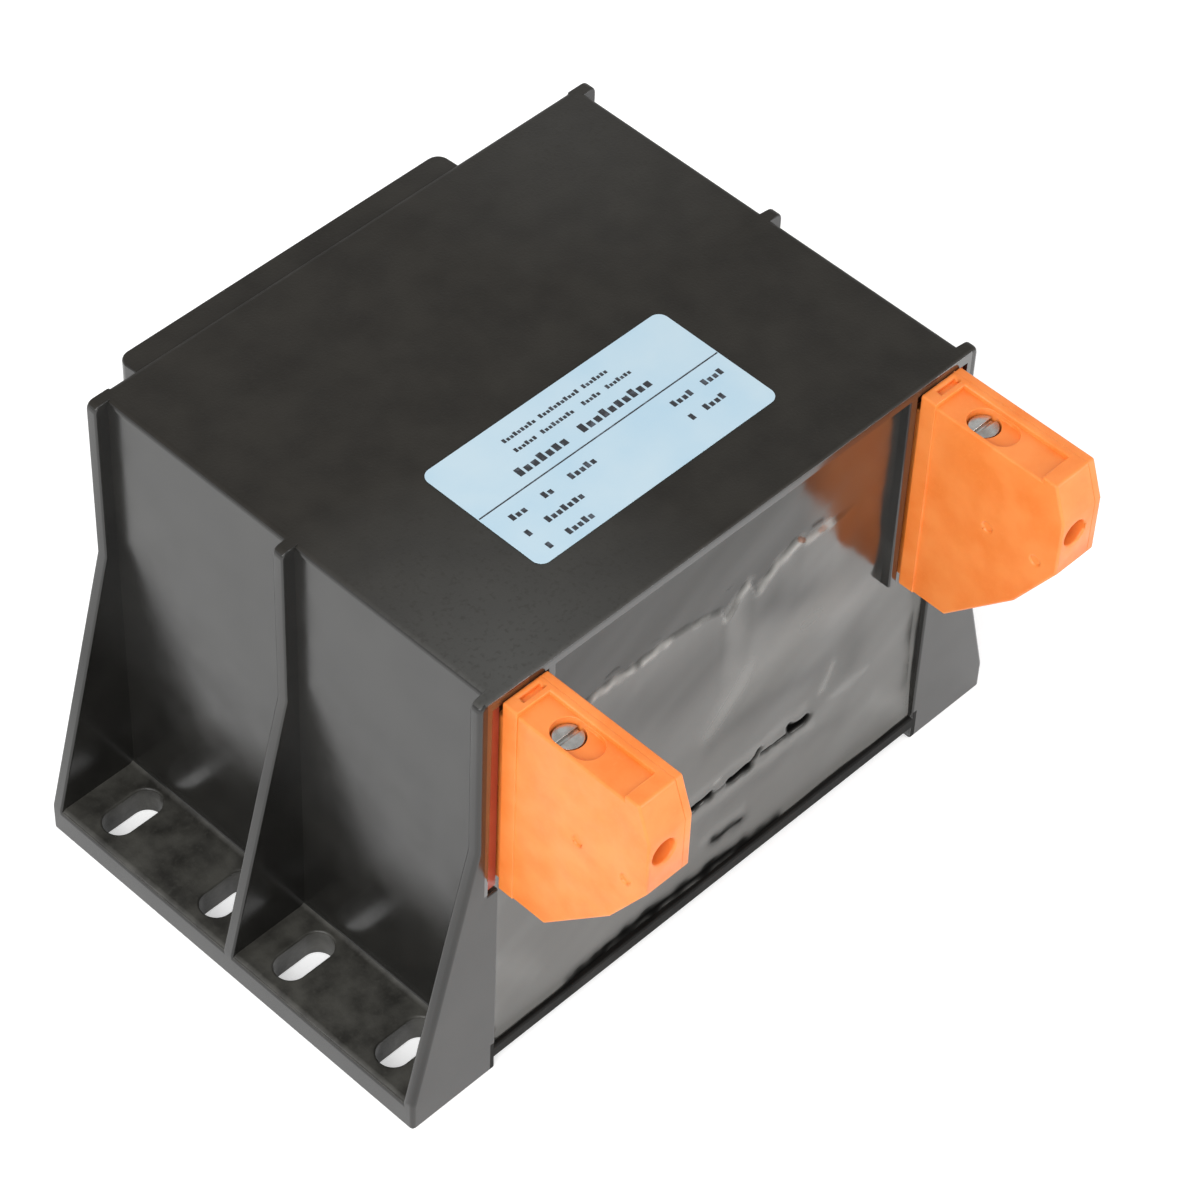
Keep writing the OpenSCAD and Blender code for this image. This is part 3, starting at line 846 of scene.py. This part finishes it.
@dataclass
class Pot:
    """Moulded pot with its feet and ribs. Sizes are in millimetres."""

    front_round: float = 0.9
    edge_share: float = 0.5
    sill: float = 3.0
    slot_x: float = 64.0
    slot_reach: float = 7.0
    slot_end: float = 40.0
    foot_top: float = 7.8
    channel_room: float = 0.4
    channel_front: float = 0.8
    lip: float = 1.4
    lip_end: float = 1.2
    gloss_start: float = 5.6
    gloss_end: float = 3.4
    level_share: float = 0.7
    top_band: float = 2.0
    piece: bpy.types.Object | None = None
    resin_low: Vector = field(init=False)
    resin_high: Vector = field(init=False)
    base: float = field(init=False)
    top: float = field(init=False)

    def __post_init__(self) -> None:
        """Look up the resin's box, the terminals' lower ends and the pot's top, in metres."""
        self.resin_low, self.resin_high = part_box("potting_resin")
        self.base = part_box("terminal_body_left")[0].z
        self.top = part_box("pot_housing")[1].z

    def front(self) -> float:
        """Place in metres that the front flat lies before."""
        return self.resin_low.y - self.channel_front * MM

    def part_front(self) -> None:
        """Part the front flat over the lip that holds the resin, and at the terminals' lower ends."""
        lip, side = self.resin_low.z / MM + self.lip, self.resin_high.x / MM
        lip_end = side + self.lip_end
        start, end = side - self.gloss_start, side + self.gloss_end
        with reshaping(self.piece.data) as form:
            flats = [face for face in form.faces if face.normal.y < -self.level_share]
            flats = [face for face in flats if face.calc_center_median().y < self.front()]
            strips = cut_faces(form, flats, 2, [lip, self.base / MM])
            lowest = [face for face in strips if face.calc_center_median().z < lip * MM]
            cut_faces(form, lowest, 0, [-lip_end, lip_end])
            highest = [face for face in strips if face.calc_center_median().z > self.base]
            cut_faces(form, highest, 0, [-end, -start, start, end])

    def build(self) -> None:
        """Copy the pot from the frame and round its edges, except in the channels by the terminals."""
        room = self.channel_room * MM
        inner, outer = self.resin_high.x - room, self.resin_high.x + POT_WALL + room
        front, brow = self.front(), self.top - room

        def share(edge: bmesh.types.BMEdge) -> float:
            """Round the front's outline most, and the channels not at all.

            Args:
                edge: Sharp edge of the pot.

            Returns:
                Its share of the rounding.
            """
            middle = middle_of(edge)
            if middle.y > front or middle.z < self.sill * MM:
                return self.edge_share
            if abs(middle.x) > outer or middle.z > brow:
                return 1.0
            return 0.0 if abs(middle.x) > inner and middle.z > self.base else self.edge_share

        self.piece = copy_node("pot_housing", "pot", (-self.slot_x, 0.0, self.slot_x))
        self.part_front()
        round_edges(self.piece, self.front_round, share)

    def dress(self) -> None:
        """Give each face its grade of surface."""
        finishes = (POT_SATIN, POT_GRAINED, POT_SPARKED, POT_GLOSSED, POT_BUFFED, POT_LIP_SHADE)
        paint(self.piece, *(finish.material() for finish in finishes))
        for face in self.piece.data.polygons:
            face.material_index = self.grade(face).value
        seat(self.piece, ["pot_housing"])

    def in_slot(self, place: Vector) -> bool:
        """Tell whether a place in metres lies in one of the feet's slots."""
        x, y, z = (abs(value) / MM for value in place)
        return abs(x - self.slot_x) < self.slot_reach and y < self.slot_end and z < self.foot_top

    def grade(self, face: bpy.types.MeshPolygon) -> Grade:
        """Choose the grade of one face.

        The top is sparked, other level faces and the slots' walls are grained, and upright faces
        are satin. At the front, the strips beside the terminals are glossed, the rim over the resin
        is buffed and the lip under it gets painted shade.

        Args:
            face: Face of the pot.

        Returns:
            The face's grade.
        """
        aside = (abs(face.center.x) - self.resin_high.x) / MM
        # The lip under the resin gets painted shade.
        on_lip = aside < self.lip_end and face.center.z < self.resin_low.z + self.lip * MM
        if abs(face.normal.z) > self.level_share:
            if face.center.z > self.top - self.top_band * MM:
                return Grade.SPARKED
            return Grade.LIP_SHADE if on_lip and face.normal.z > 0.0 else Grade.GRAINED
        if face.normal.y < -self.level_share and face.center.y < self.front():
            if on_lip:
                return Grade.LIP_SHADE
            if aside < self.gloss_end and face.center.z > self.base:
                return Grade.GLOSSED if aside > -self.gloss_start else Grade.BUFFED
        return Grade.GRAINED if self.in_slot(face.center) else Grade.SATIN


@dataclass(frozen=True)
class Crease:
    """A line across the poured face, through a few points of width and height in millimetres."""

    points: tuple[Point, ...]
    fade: float

    def height(self, x: float) -> float:
        """Height of the line at one place along the width.

        Args:
            x: Place along the width.

        Returns:
            The line's height there, or at its nearer end.
        """
        for (x0, z0), (x1, z1) in zip(self.points, self.points[1:]):
            if x < x1:
                return z0 + (z1 - z0) * smooth_step(x0, x1, x)
        return self.points[-1][1]

    def presence(self, x: float) -> float:
        """Share of the line that is there at x: 1 along it, and fading past both ends."""
        first, last = self.points[0][0], self.points[-1][0]
        return smooth_step(first - self.fade, first, x) * (1.0 - smooth_step(last, last + self.fade, x))


@dataclass(frozen=True)
class Stroke:
    """Torn streak on the poured face, through points of width and height in millimetres."""

    points: tuple[Point, ...]
    width: float
    strength: float
    tear: float = 0.8
    tear_size: float = 2.6
    tear_seeds: Point = (41.0, 57.0)

    def at(self, x: float, z: float) -> float:
        """Strength of the streak at one place.

        Args:
            x: Place along the width.
            z: Place up the height.

        Returns:
            The strength, which fades across the streak.
        """
        size = self.tear_size * self.width
        tears = (noise.noise((x / size, z / size, seed)) for seed in self.tear_seeds)
        x, z = (place + self.tear * self.width * tear for place, tear in zip((x, z), tears))
        reach = math.inf
        for (x0, z0), (x1, z1) in zip(self.points, self.points[1:]):
            run_x, run_z = x1 - x0, z1 - z0
            share = ((x - x0) * run_x + (z - z0) * run_z) / (run_x * run_x + run_z * run_z)
            share = max(0.0, min(1.0, share))
            reach = min(reach, math.hypot(x - x0 - share * run_x, z - z0 - share * run_z))
        return self.strength * bell(reach, self.width)


@dataclass
class Casting:
    """Resin that fills the pot, with its poured face to the front. Sizes are in millimetres."""

    step_x: float = 0.5
    step_z: float = 1.0
    fine_step_z: float = 0.25
    fine_band: float = 3.0
    flow_turn: float = 27.0
    swell: float = 0.30
    swell_size: Point = (36.0, 12.0)
    swell_seed: float = 3.0
    ripple: float = 0.04
    ripple_size: Point = (13.0, 4.5)
    ripple_seed: float = 9.0
    shelf_rise: float = 0.5
    shelf_width: float = 0.7
    shelf_fall: float = 10.0
    # Painted shade over the shelf, fading out towards the right.
    shelf_shade: float = 0.48
    shade_end: Point = (18.0, 27.0)
    jag: float = 0.7
    jag_size: float = 2.6
    jag_seed: float = 21.0
    crack_depth: float = 0.7
    creep: float = 0.5
    creep_reach: float = 0.8
    heel: float = 0.5
    heel_reach: float = 6.0
    shelf: Crease = Crease(
        (
            (-36.0, 77.6), (-28.0, 78.2), (-22.0, 77.9), (-13.0, 78.1), (-5.0, 76.6), (-1.0, 75.2),
            (1.0, 72.0), (5.5, 77.2), (8.0, 73.4), (13.0, 76.8), (17.5, 78.8), (20.0, 77.3), (27.0, 77.0),
        ),
        fade=6.0,
    )
    # Paler strokes: those along the shelf's ridge and on the crack's lips are painted highlight, the rest
    # paler patches.
    pale: tuple[Stroke, ...] = (
        Stroke(((-31.0, 77.6), (-27.0, 78.0), (-22.5, 77.6)), 0.8, 0.60),
        Stroke(((-19.4, 77.6), (-13.8, 77.7)), 0.8, 0.55),
        Stroke(((-7.5, 76.6), (-3.8, 76.4)), 0.6, 0.20),
        Stroke(((0.6, 72.4), (3.0, 75.0), (6.2, 77.2)), 1.0, 0.45),
        Stroke(((8.7, 73.7), (13.0, 76.4), (18.7, 78.4)), 1.1, 0.50),
        Stroke(((20.0, 77.0), (25.6, 77.0)), 0.9, 0.50),
        Stroke(((1.5, 72.0), (3.0, 66.0), (2.2, 60.0), (5.5, 54.0)), 2.4, 0.09),
        Stroke(((-1.0, 45.0), (4.0, 49.0), (8.5, 54.0)), 3.2, 0.20),
        Stroke(((9.0, 53.0), (25.0, 56.5), (40.0, 49.5)), 4.5, 0.12),
        Stroke(((28.7, 32.0), (31.0, 37.0)), 1.0, 0.20),
        Stroke(((32.0, 28.0), (40.0, 28.2)), 1.2, 0.14),
        Stroke(((-4.0, 29.5), (24.0, 30.6)), 1.3, 0.11),
        Stroke(((-4.0, 23.6), (26.0, 24.2)), 1.2, 0.12),
        Stroke(((1.8, 29.2), (2.2, 29.2)), 0.8, 0.30),
        Stroke(((-1.0, 14.8), (9.0, 15.6)), 1.2, 0.10),
        Stroke(((43.0, 17.0), (52.0, 10.0)), 3.0, 0.10),
        Stroke(((-50.0, 24.0), (-44.0, 16.0)), 3.0, 0.08),
    )
    # The crack is a groove in the relief, darkened further by painted shade.
    crack: tuple[Stroke, ...] = (
        Stroke(((-6.0, 26.0), (-3.0, 26.5), (0.4, 26.3)), 0.9, 1.2),
        Stroke(((0.4, 26.3), (5.0, 26.3)), 0.4, 0.5),
        Stroke(((5.4, 26.2), (10.6, 26.0)), 1.0, 1.2),
        Stroke(((11.0, 26.6), (13.0, 28.6)), 0.6, 0.9),
        Stroke(((13.5, 26.8), (20.0, 26.4)), 0.5, 0.8),
        Stroke(((21.6, 27.4), (24.8, 27.3)), 1.4, 1.3),
    )
    # Dark patches; the lowest line, along the resin's lower edge, is painted shade.
    dark_patches: tuple[Stroke, ...] = (
        Stroke(((-24.0, 66.0), (-12.0, 64.5), (-2.0, 62.0)), 8.0, 0.30),
        Stroke(((12.0, 68.0), (19.0, 64.0)), 5.5, 0.42),
        Stroke(((0.0, 41.0), (12.0, 41.5), (28.0, 40.0)), 3.8, 0.26),
        Stroke(((35.0, 40.0), (37.0, 32.0)), 4.5, 0.26),
        Stroke(((-2.0, 20.0), (18.0, 20.5), (34.0, 20.0)), 2.2, 0.18),
        Stroke(((-28.0, 80.0), (-25.0, 80.2)), 0.9, 0.60),
        Stroke(((-17.5, 80.2), (-15.5, 80.0)), 0.9, 0.55),
        Stroke(((1.0, 79.0), (1.6, 79.4)), 1.0, 0.55),
        Stroke(((21.5, 79.4), (23.5, 79.2)), 1.1, 0.60),
        Stroke(((2.5, 12.8), (9.0, 12.6)), 1.4, 0.85),
        Stroke(((-34.0, 5.6), (-22.0, 6.6), (2.0, 6.8), (18.0, 5.6)), 1.3, 0.95),
    )
    wet: tuple[Stroke, ...] = (Stroke(((32.0, 90.0), (38.0, 70.0)), 8.0, 1.0),)
    piece: bpy.types.Object | None = None
    low: Vector = field(init=False)
    high: Vector = field(init=False)

    def __post_init__(self) -> None:
        """Look up the casting's box in the frame."""
        self.low, self.high = (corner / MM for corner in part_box("potting_resin"))

    def relief(self, x: float, z: float) -> float:
        """Height of the poured face over its plane.

        Args:
            x: Place along the width.
            z: Place up the height.

        Returns:
            The height towards the front.
        """
        turn = math.radians(self.flow_turn)
        along = x * math.cos(turn) + z * math.sin(turn)
        across = z * math.cos(turn) - x * math.sin(turn)
        waves = (
            (self.swell, self.swell_size, self.swell_seed),
            (self.ripple, self.ripple_size, self.ripple_seed),
        )
        height = sum(
            rise * noise.noise((along / length, across / width, seed))
            for rise, (length, width), seed in waves
        )
        drop = self.drop(x, z)
        shelf = smooth_step(-self.shelf_width, self.shelf_width, drop)
        shelf *= math.exp(-max(drop, 0.0) / self.shelf_fall)
        height += self.shelf_rise * self.shelf.presence(x) * shelf
        height -= self.crack_depth * self.streaks(self.crack, x, z) ** 2
        height += self.heel * math.exp(-(z - self.low.z) / self.heel_reach)
        edge = min(x - self.low.x, self.high.x - x, z - self.low.z, self.high.z - z)
        return height + self.creep * math.exp(-max(edge, 0.0) / self.creep_reach)

    def drop(self, x: float, z: float) -> float:
        """How far a place lies under the jagged edge of the shelf."""
        jag = self.jag * noise.noise((x / self.jag_size, 0.0, self.jag_seed))
        return self.shelf.height(x) + jag - z

    def streaks(self, strokes: tuple[Stroke, ...], x: float, z: float) -> float:
        """Strength of the strongest of some streaks at one place, from 0 to 1."""
        return min(1.0, max(stroke.at(x, z) for stroke in strokes))

    def depth(self, x: float, z: float) -> float:
        """Share of darkening on the poured face: painted shade in the crack, over the shelf and along the
        lower edge, and dark patches.

        Args:
            x: Place along the width.
            z: Place up the height.

        Returns:
            The share from 0 to 1.
        """
        shade = smooth_step(-self.shelf_width, self.shelf_width, -self.drop(x, z))
        shade *= self.shelf_shade * (1.0 - smooth_step(*self.shade_end, x))
        return max(shade, self.streaks(self.crack, x, z), self.streaks(self.dark_patches, x, z))

    def columns(self) -> list[float]:
        """Places along the width at which the poured face is cut."""
        count = int((self.high.x - self.low.x) / self.step_x)
        return [self.low.x + i * self.step_x for i in range(1, count)]

    def rows(self) -> list[float]:
        """Places up the height at which the poured face is cut, close together by the creases.

        Returns:
            The rising places.
        """
        middles = [z for line in (self.shelf, *self.crack) for _, z in line.points]
        places = [self.low.z + self.step_z]
        while places[-1] < self.high.z - self.step_z:
            near = min(abs(places[-1] - middle) for middle in middles) < self.fine_band
            places.append(places[-1] + (self.fine_step_z if near else self.step_z))
        return places

    def build(self) -> None:
        """Copy the casting from the frame, grid its front face and raise the relief on it."""
        self.piece = copy_node("potting_resin", "casting")
        plane = self.low.y * MM + WELD_GAP
        with reshaping(self.piece.data) as form:
            front = [face for face in form.faces if face.calc_center_median().y < plane]
            front = cut_faces(form, front, 2, self.rows())
            front = cut_faces(form, front, 0, self.columns())
            for face in form.faces:
                face.smooth = True
            for edge in form.edges:
                edge.smooth = edge.calc_face_angle(0.0) < SHARP_ANGLE
            for name in PAINTS:
                form.verts.layers.float.new(name)
            pale, shade_and_patches, wet = (form.verts.layers.float[name] for name in PAINTS)
            for vert in {vert for face in front for vert in face.verts}:
                x, z = vert.co.x / MM, vert.co.z / MM
                vert.co.y -= self.relief(x, z) * MM
                # Painted highlight and paler patches, then painted shade and dark patches.
                vert[pale], vert[shade_and_patches] = self.streaks(self.pale, x, z), self.depth(x, z)
                vert[wet] = self.streaks(self.wet, x, z)

    def dress(self) -> None:
        """Give the casting its resin."""
        paint(self.piece, CastResin().material())
        seat(self.piece, ["potting_resin"])


@dataclass(frozen=True)
class PrintRow:
    """One row of plain dashes.

    Its place from the back edge and its words are shares of the label, its height is in millimetres.
    """

    place: float
    height: float
    words: tuple[Point, ...]


@dataclass
class Label:
    """Film label on the pot's top, with plain print. Sizes are in millimetres."""

    film_t: float = 0.17
    ink_t: float = 0.015
    film_round: float = 0.05
    dash: float = 0.62
    dash_gap: float = 0.26
    dash_heights: tuple[float, ...] = (1.0, 0.7, 0.7, 1.0, 0.7, 0.85, 0.7)
    rule_w: float = 0.28
    rule_place: float = 0.49
    rows: tuple[PrintRow, ...] = (
        PrintRow(0.14, 0.95, ((0.27, 0.40), (0.42, 0.58), (0.60, 0.71))),
        PrintRow(0.24, 0.95, ((0.27, 0.36), (0.38, 0.52), (0.55, 0.62), (0.65, 0.76))),
        PrintRow(0.38, 1.90, ((0.21, 0.42), (0.47, 0.76))),
        PrintRow(0.61, 1.40, ((0.07, 0.13), (0.20, 0.25), (0.31, 0.42), (0.74, 0.82), (0.87, 0.95))),
        PrintRow(0.76, 1.40, ((0.06, 0.08), (0.14, 0.29), (0.74, 0.76), (0.80, 0.88))),
        PrintRow(0.91, 1.40, ((0.07, 0.10), (0.15, 0.25))),
    )
    film: bpy.types.Object | None = None
    ink: bpy.types.Object | None = None

    def build(self) -> None:
        """Copy the film from the frame, thinned by the ink, and lay the print on it."""
        low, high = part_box("rating_label")
        ink_z = low.z + self.film_t * MM
        self.film = copy_node("rating_label", "label_film")
        for vert in self.film.data.vertices:
            vert.co.z = min(vert.co.z, ink_z)
        round_edges(self.film, self.film_round, steps=2)
        form = bmesh.new()
        size = high - low
        rule_y = high.y - self.rule_place * size.y
        half = self.rule_w / 2 * MM
        self.lay(form, (low.x + half, rule_y - half), (high.x - half, rule_y + half), ink_z)
        for row in self.rows:
            base = high.y - row.place * size.y - row.height / 2 * MM
            for word in row.words:
                start, end = (low.x + share * size.x for share in word)
                self.lay_word(form, start, end, base, row.height * MM, ink_z)
        self.ink = new_piece("label_print", form)

    def lay_word(
        self, form: bmesh.types.BMesh, start: float, end: float, base: float, height: float, ink_z: float
    ) -> None:
        """Lay one word as a row of dashes.

        Args:
            form: Form that takes the ink.
            start: Where the word starts, in metres.
            end: Where it ends at the latest.
            base: Its lower line.
            height: Height of its tallest dashes.
            ink_z: Face that carries the ink.
        """
        pitch = (self.dash + self.dash_gap) * height
        for i in range(max(1, round((end - start) / pitch))):
            x = start + i * pitch
            top = base + height * self.dash_heights[i % len(self.dash_heights)]
            self.lay(form, (x, base), (x + self.dash * height, top), ink_z)

    def lay(self, form: bmesh.types.BMesh, low: Point, high: Point, ink_z: float) -> None:
        """Lay one oblong of ink, from its lower left to its upper right corner in metres."""
        add_block(form, Vector((*low, ink_z)), Vector((*high, ink_z + self.ink_t * MM)))

    def dress(self) -> None:
        """Give the film and the print their finishes."""
        paint(self.film, LabelFilm().material())
        seat(self.film, ["rating_label"])
        paint(self.ink, PrintInk().material())
        seat(self.ink)


@dataclass
class ScrewTerminal:
    """One terminal: moulded body, side cover and skirt, with the clamp inside.

    Sizes are in millimetres.
    """

    side: Side
    plastic: bpy.types.Material
    skirt_shaded_plastic: bpy.types.Material
    cage_metal: bpy.types.Material
    bar_metal: bpy.types.Material
    edge_round: float = 0.5
    fine_share: float = 0.3
    clamp_room: float = 0.6
    well_reach: float = 3.12
    well_run: float = 4.0
    seam_reach: float = 0.05
    flange: float = 3.4
    flange_share: float = 0.2
    channel_depth: float = 1.0
    skirt_t: float = 0.3
    skirt_gap: float = 0.15
    skirt_round: float = 0.1
    body: bpy.types.Object | None = None
    cover: bpy.types.Object | None = None
    skirt: bpy.types.Object | None = None

    def node(self, part: str) -> str:
        """Name of this side's node of one kind."""
        return f"{part}_{self.side.value}"

    def build(self) -> None:
        """Copy the body and its cover from the frame, round their outer edges and lay the skirt."""
        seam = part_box(self.node("terminal_cover"))[0].x
        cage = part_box(self.node("clamp_cage"))
        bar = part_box(self.node("current_bar"))
        axis = (cage[0] + cage[1]) / 2
        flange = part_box("pot_housing")[0].y - self.flange * MM
        room = self.clamp_room * MM

        def share(edge: bmesh.types.BMEdge) -> float:
            """Round the flange, the seam and the well little, and nothing round the clamp.

            Args:
                edge: Sharp edge of the body or its cover.

            Returns:
                Its share of the rounding.
            """
            middle = middle_of(edge)
            for low, high in (cage, bar):
                if all(low[i] - room < middle[i] < high[i] + room for i in range(3)):
                    return 0.0
            if abs(middle.y - flange) < self.seam_reach * MM:
                return self.flange_share
            at_seam = abs(middle.x - seam) < self.seam_reach * MM
            aside = max(axis.y - self.well_run * MM - middle.y, middle.y - axis.y, 0.0)
            at_well = math.hypot(middle.x - axis.x, aside) < self.well_reach * MM
            return self.fine_share if at_seam or at_well else 1.0

        self.body = copy_node(self.node("terminal_body"), self.node("clamp_body"))
        round_edges(self.body, self.edge_round, share)
        self.cover = copy_node(self.node("terminal_cover"), self.node("clamp_cover"))
        round_edges(self.cover, self.edge_round, share)
        self.lay_skirt()

    def lay_skirt(self) -> None:
        """Lay the thin skirt that runs up the wall's channel beside the body."""
        resin_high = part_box("potting_resin")[1]
        gap = self.skirt_gap * MM
        start, end = resin_high.x + gap, resin_high.x + POT_WALL - gap
        if self.side is Side.LEFT:
            start, end = -end, -start
        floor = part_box("pot_housing")[0].y + self.channel_depth * MM
        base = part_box(self.node("terminal_body"))[0].z
        form = bmesh.new()
        low = Vector((start, floor - self.skirt_t * MM, base))
        add_block(form, low, Vector((end, floor, resin_high.z - gap)))
        self.skirt = new_piece(self.node("clamp_skirt"), form)
        round_edges(self.skirt, self.skirt_round, steps=2)

    def dress(self) -> None:
        """Give the mouldings, the skirt, the cage and the bar their finishes."""
        for piece, part in ((self.body, "terminal_body"), (self.cover, "terminal_cover")):
            paint(piece, self.plastic)
            seat(piece, [self.node(part)])
        # The skirt's deep red is painted shade.
        paint(self.skirt, self.skirt_shaded_plastic)
        seat(self.skirt)
        keep(self.node("clamp_cage"), self.cage_metal)
        keep(self.node("current_bar"), self.bar_metal)


@dataclass
class ClampScrews:
    """The two slotted clamp screws. Sizes are in millimetres."""

    edge_round: float = 0.16
    piece: bpy.types.Object | None = None

    def build(self) -> None:
        """Copy the screws from the frame and round their edges."""
        self.piece = copy_node("clamp_screws", "slotted_screws")
        round_edges(self.piece, self.edge_round, steps=2)

    def dress(self) -> None:
        """Give the screws their plating."""
        paint(self.piece, SCREW_ZINC.material())
        seat(self.piece, ["clamp_screws"])


@dataclass
class Choke:
    """Core and coil inside the casting. They keep the frame's pieces."""

    finishes: tuple[tuple[Finish, tuple[str, ...]], ...] = (
        (CORE_SHEETS, ("core_e_stack", "core_i_stack")),
        (SPACER_BOARD, ("center_gap_spacer", "side_gap_spacers")),
        (STRAP_STEEL, ("core_strap",)),
        (BOBBIN_NATURAL, ("bobbin",)),
        (COPPER_TURNS, ("winding",)),
        (WRAP_TAPE, ("winding_wrap",)),
        (COPPER_LEAD, ("lead_left", "lead_right")),
        (SLEEVE_BRAID, ("lead_sleeve_left", "lead_sleeve_right")),
    )

    def dress(self) -> None:
        """Give each piece of the choke its finish."""
        for finish, nodes in self.finishes:
            material = finish.material()
            for node in nodes:
                keep(node, material)


@dataclass(frozen=True)
class SoftBox:
    """Square studio lamp that faces the part. Sizes are in metres, its power in watts."""

    name: str
    direction: Place
    distance: float
    size: float
    power: float

    def build(self, centre: Vector) -> None:
        """Hang the lamp.

        Args:
            centre: Point that it faces.
        """
        lamp = bpy.data.lights.new(self.name, "AREA")
        lamp.energy = self.power
        lamp.size = self.size
        holder = bpy.data.objects.new(self.name, lamp)
        away = Vector(self.direction).normalized()
        holder.location = centre + away * self.distance
        holder.rotation_mode = "QUATERNION"
        holder.rotation_quaternion = (-away).to_track_quat("-Z", "Y")
        bpy.context.scene.collection.objects.link(holder)


@dataclass
class Studio:
    """Pale floor, soft light and the camera.

    The camera's place, lens and sensor and the floor's clouds are in millimetres, and its turns are
    in degrees. The floor's size and the end of the view are in metres.
    """

    floor_size: float = 6.0
    floor_tone: float = 0.80
    floor_spread: float = 0.01
    floor_cloud: float = 60.0
    floor_rough: float = 0.9
    floor_lift: float = 0.50
    sky_low: float = 1.0
    sky_high: float = 0.48
    camera_place: Place = (-367.5, -353.8, 602.1)
    azimuth: float = -47.61
    elevation: float = 48.55
    roll: float = 2.89
    lens: float = 129.04
    sensor: float = 36.0
    view_end: float = 60.0
    shift: Point = (-0.0033, 0.057)
    lamps: tuple[SoftBox, ...] = (
        SoftBox("key", (-0.75, -0.30, 0.60), 1.1, 0.7, 8.5),
        SoftBox("edge", (0.49, -0.83, 0.28), 1.0, 0.40, 2.6),
    )

    def build(self) -> None:
        """Set up the floor, the sky, the lamps and the camera."""
        self.lay_floor()
        self.light_sky()
        for lamp in self.lamps:
            lamp.build((CAD_BOX[0] + CAD_BOX[1]) / 2)
        self.place_camera()
        bpy.context.scene.view_settings.view_transform = "Standard"

    def lay_floor(self) -> None:
        """Lay a pale floor that looks white where nothing shades it."""
        form = bmesh.new()
        bmesh.ops.create_grid(form, x_segments=1, y_segments=1, size=self.floor_size / 2)
        floor = new_piece("floor", form)
        graph = Graph("pale_floor")
        tone = graph.noise(self.floor_cloud, detail=3.0)
        low, high = self.floor_tone - self.floor_spread, self.floor_tone + self.floor_spread
        graph.feed("Base Color", graph.blend(tone, (low, low, low), (high, high, high)))
        graph.fix("Roughness", self.floor_rough)
        graph.fix("Specular IOR Level", 0.0)
        graph.fix("Emission Color", (1.0, 1.0, 1.0, 1.0))
        graph.feed("Emission Strength", graph.span(self.seen(graph), 0.0, self.floor_lift))
        paint(floor, graph.material)
        floor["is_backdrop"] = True

    def seen(self, graph: Graph) -> Socket:
        """Tell whether the floor is seen directly, in a reflection or through something.

        Args:
            graph: Graph of the floor's material.

        Returns:
            1 where it is seen, and 0 where it only lights other things.
        """
        path = graph.nodes.new("ShaderNodeLightPath")
        direct = graph.join(path.outputs["Is Camera Ray"], path.outputs["Is Glossy Ray"], "MAXIMUM")
        return graph.join(direct, path.outputs["Is Transmission Ray"], "MAXIMUM")

    def light_sky(self) -> None:
        """Light the scene from all round: white at the horizon and softer overhead."""
        world = bpy.data.worlds.new("studio")
        bpy.context.scene.world = world
        world.use_nodes = True
        nodes, links = world.node_tree.nodes, world.node_tree.links
        height = nodes.new("ShaderNodeSeparateXYZ")
        links.new(nodes.new("ShaderNodeTexCoord").outputs["Generated"], height.inputs["Vector"])
        fall = nodes.new("ShaderNodeMapRange")
        fall.inputs["To Min"].default_value = self.sky_low
        fall.inputs["To Max"].default_value = self.sky_high
        links.new(height.outputs["Z"], fall.inputs["Value"])
        links.new(fall.outputs["Result"], nodes["Background"].inputs["Strength"])
        nodes["Background"].inputs["Color"].default_value = (1.0, 1.0, 1.0, 1.0)

    def place_camera(self) -> None:
        """Set the camera at the photograph's place, turn and framing."""
        data = bpy.data.cameras.new("camera")
        data.lens = self.lens
        data.sensor_width = self.sensor
        data.shift_x, data.shift_y = self.shift
        data.clip_end = self.view_end
        camera = bpy.data.objects.new("camera", data)
        turn, rise = math.radians(self.azimuth), math.radians(self.elevation)
        back = Vector((math.sin(turn) * math.cos(rise), -math.cos(turn) * math.cos(rise), math.sin(rise)))
        level = (-back).to_track_quat("-Z", "Y")
        camera.location = Vector(self.camera_place) * MM
        camera.rotation_mode = "QUATERNION"
        camera.rotation_quaternion = level @ Quaternion((0.0, 0.0, 1.0), math.radians(self.roll))
        bpy.context.scene.collection.objects.link(camera)
        bpy.context.scene.camera = camera


def write_sizes() -> None:
    """Gather the frame's box and the dressed part's box as lists; nothing is written."""
    pairs = {"cad": CAD_BOX, "visual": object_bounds()}
    boxes = {name: [list(corner) for corner in box] for name, box in pairs.items()}


def main() -> None:
    """Build and dress each part of the reactor, then the studio round it."""
    logging.basicConfig(level=logging.INFO, format="%(message)s")
    finishes = [finish.material() for finish in (TERMINAL_ORANGE, SKIRT_SHADED, CAGE_ZINC, BAR_TINNED)]
    shells = [Pot(), Casting(), Label(), ClampScrews()]
    shells += [ScrewTerminal(side, *finishes) for side in Side]
    for shell in shells:
        shell.build()
        shell.dress()
    Choke().dress()
    Studio().build()
    write_sizes()


if __name__ == "__main__":
    main()
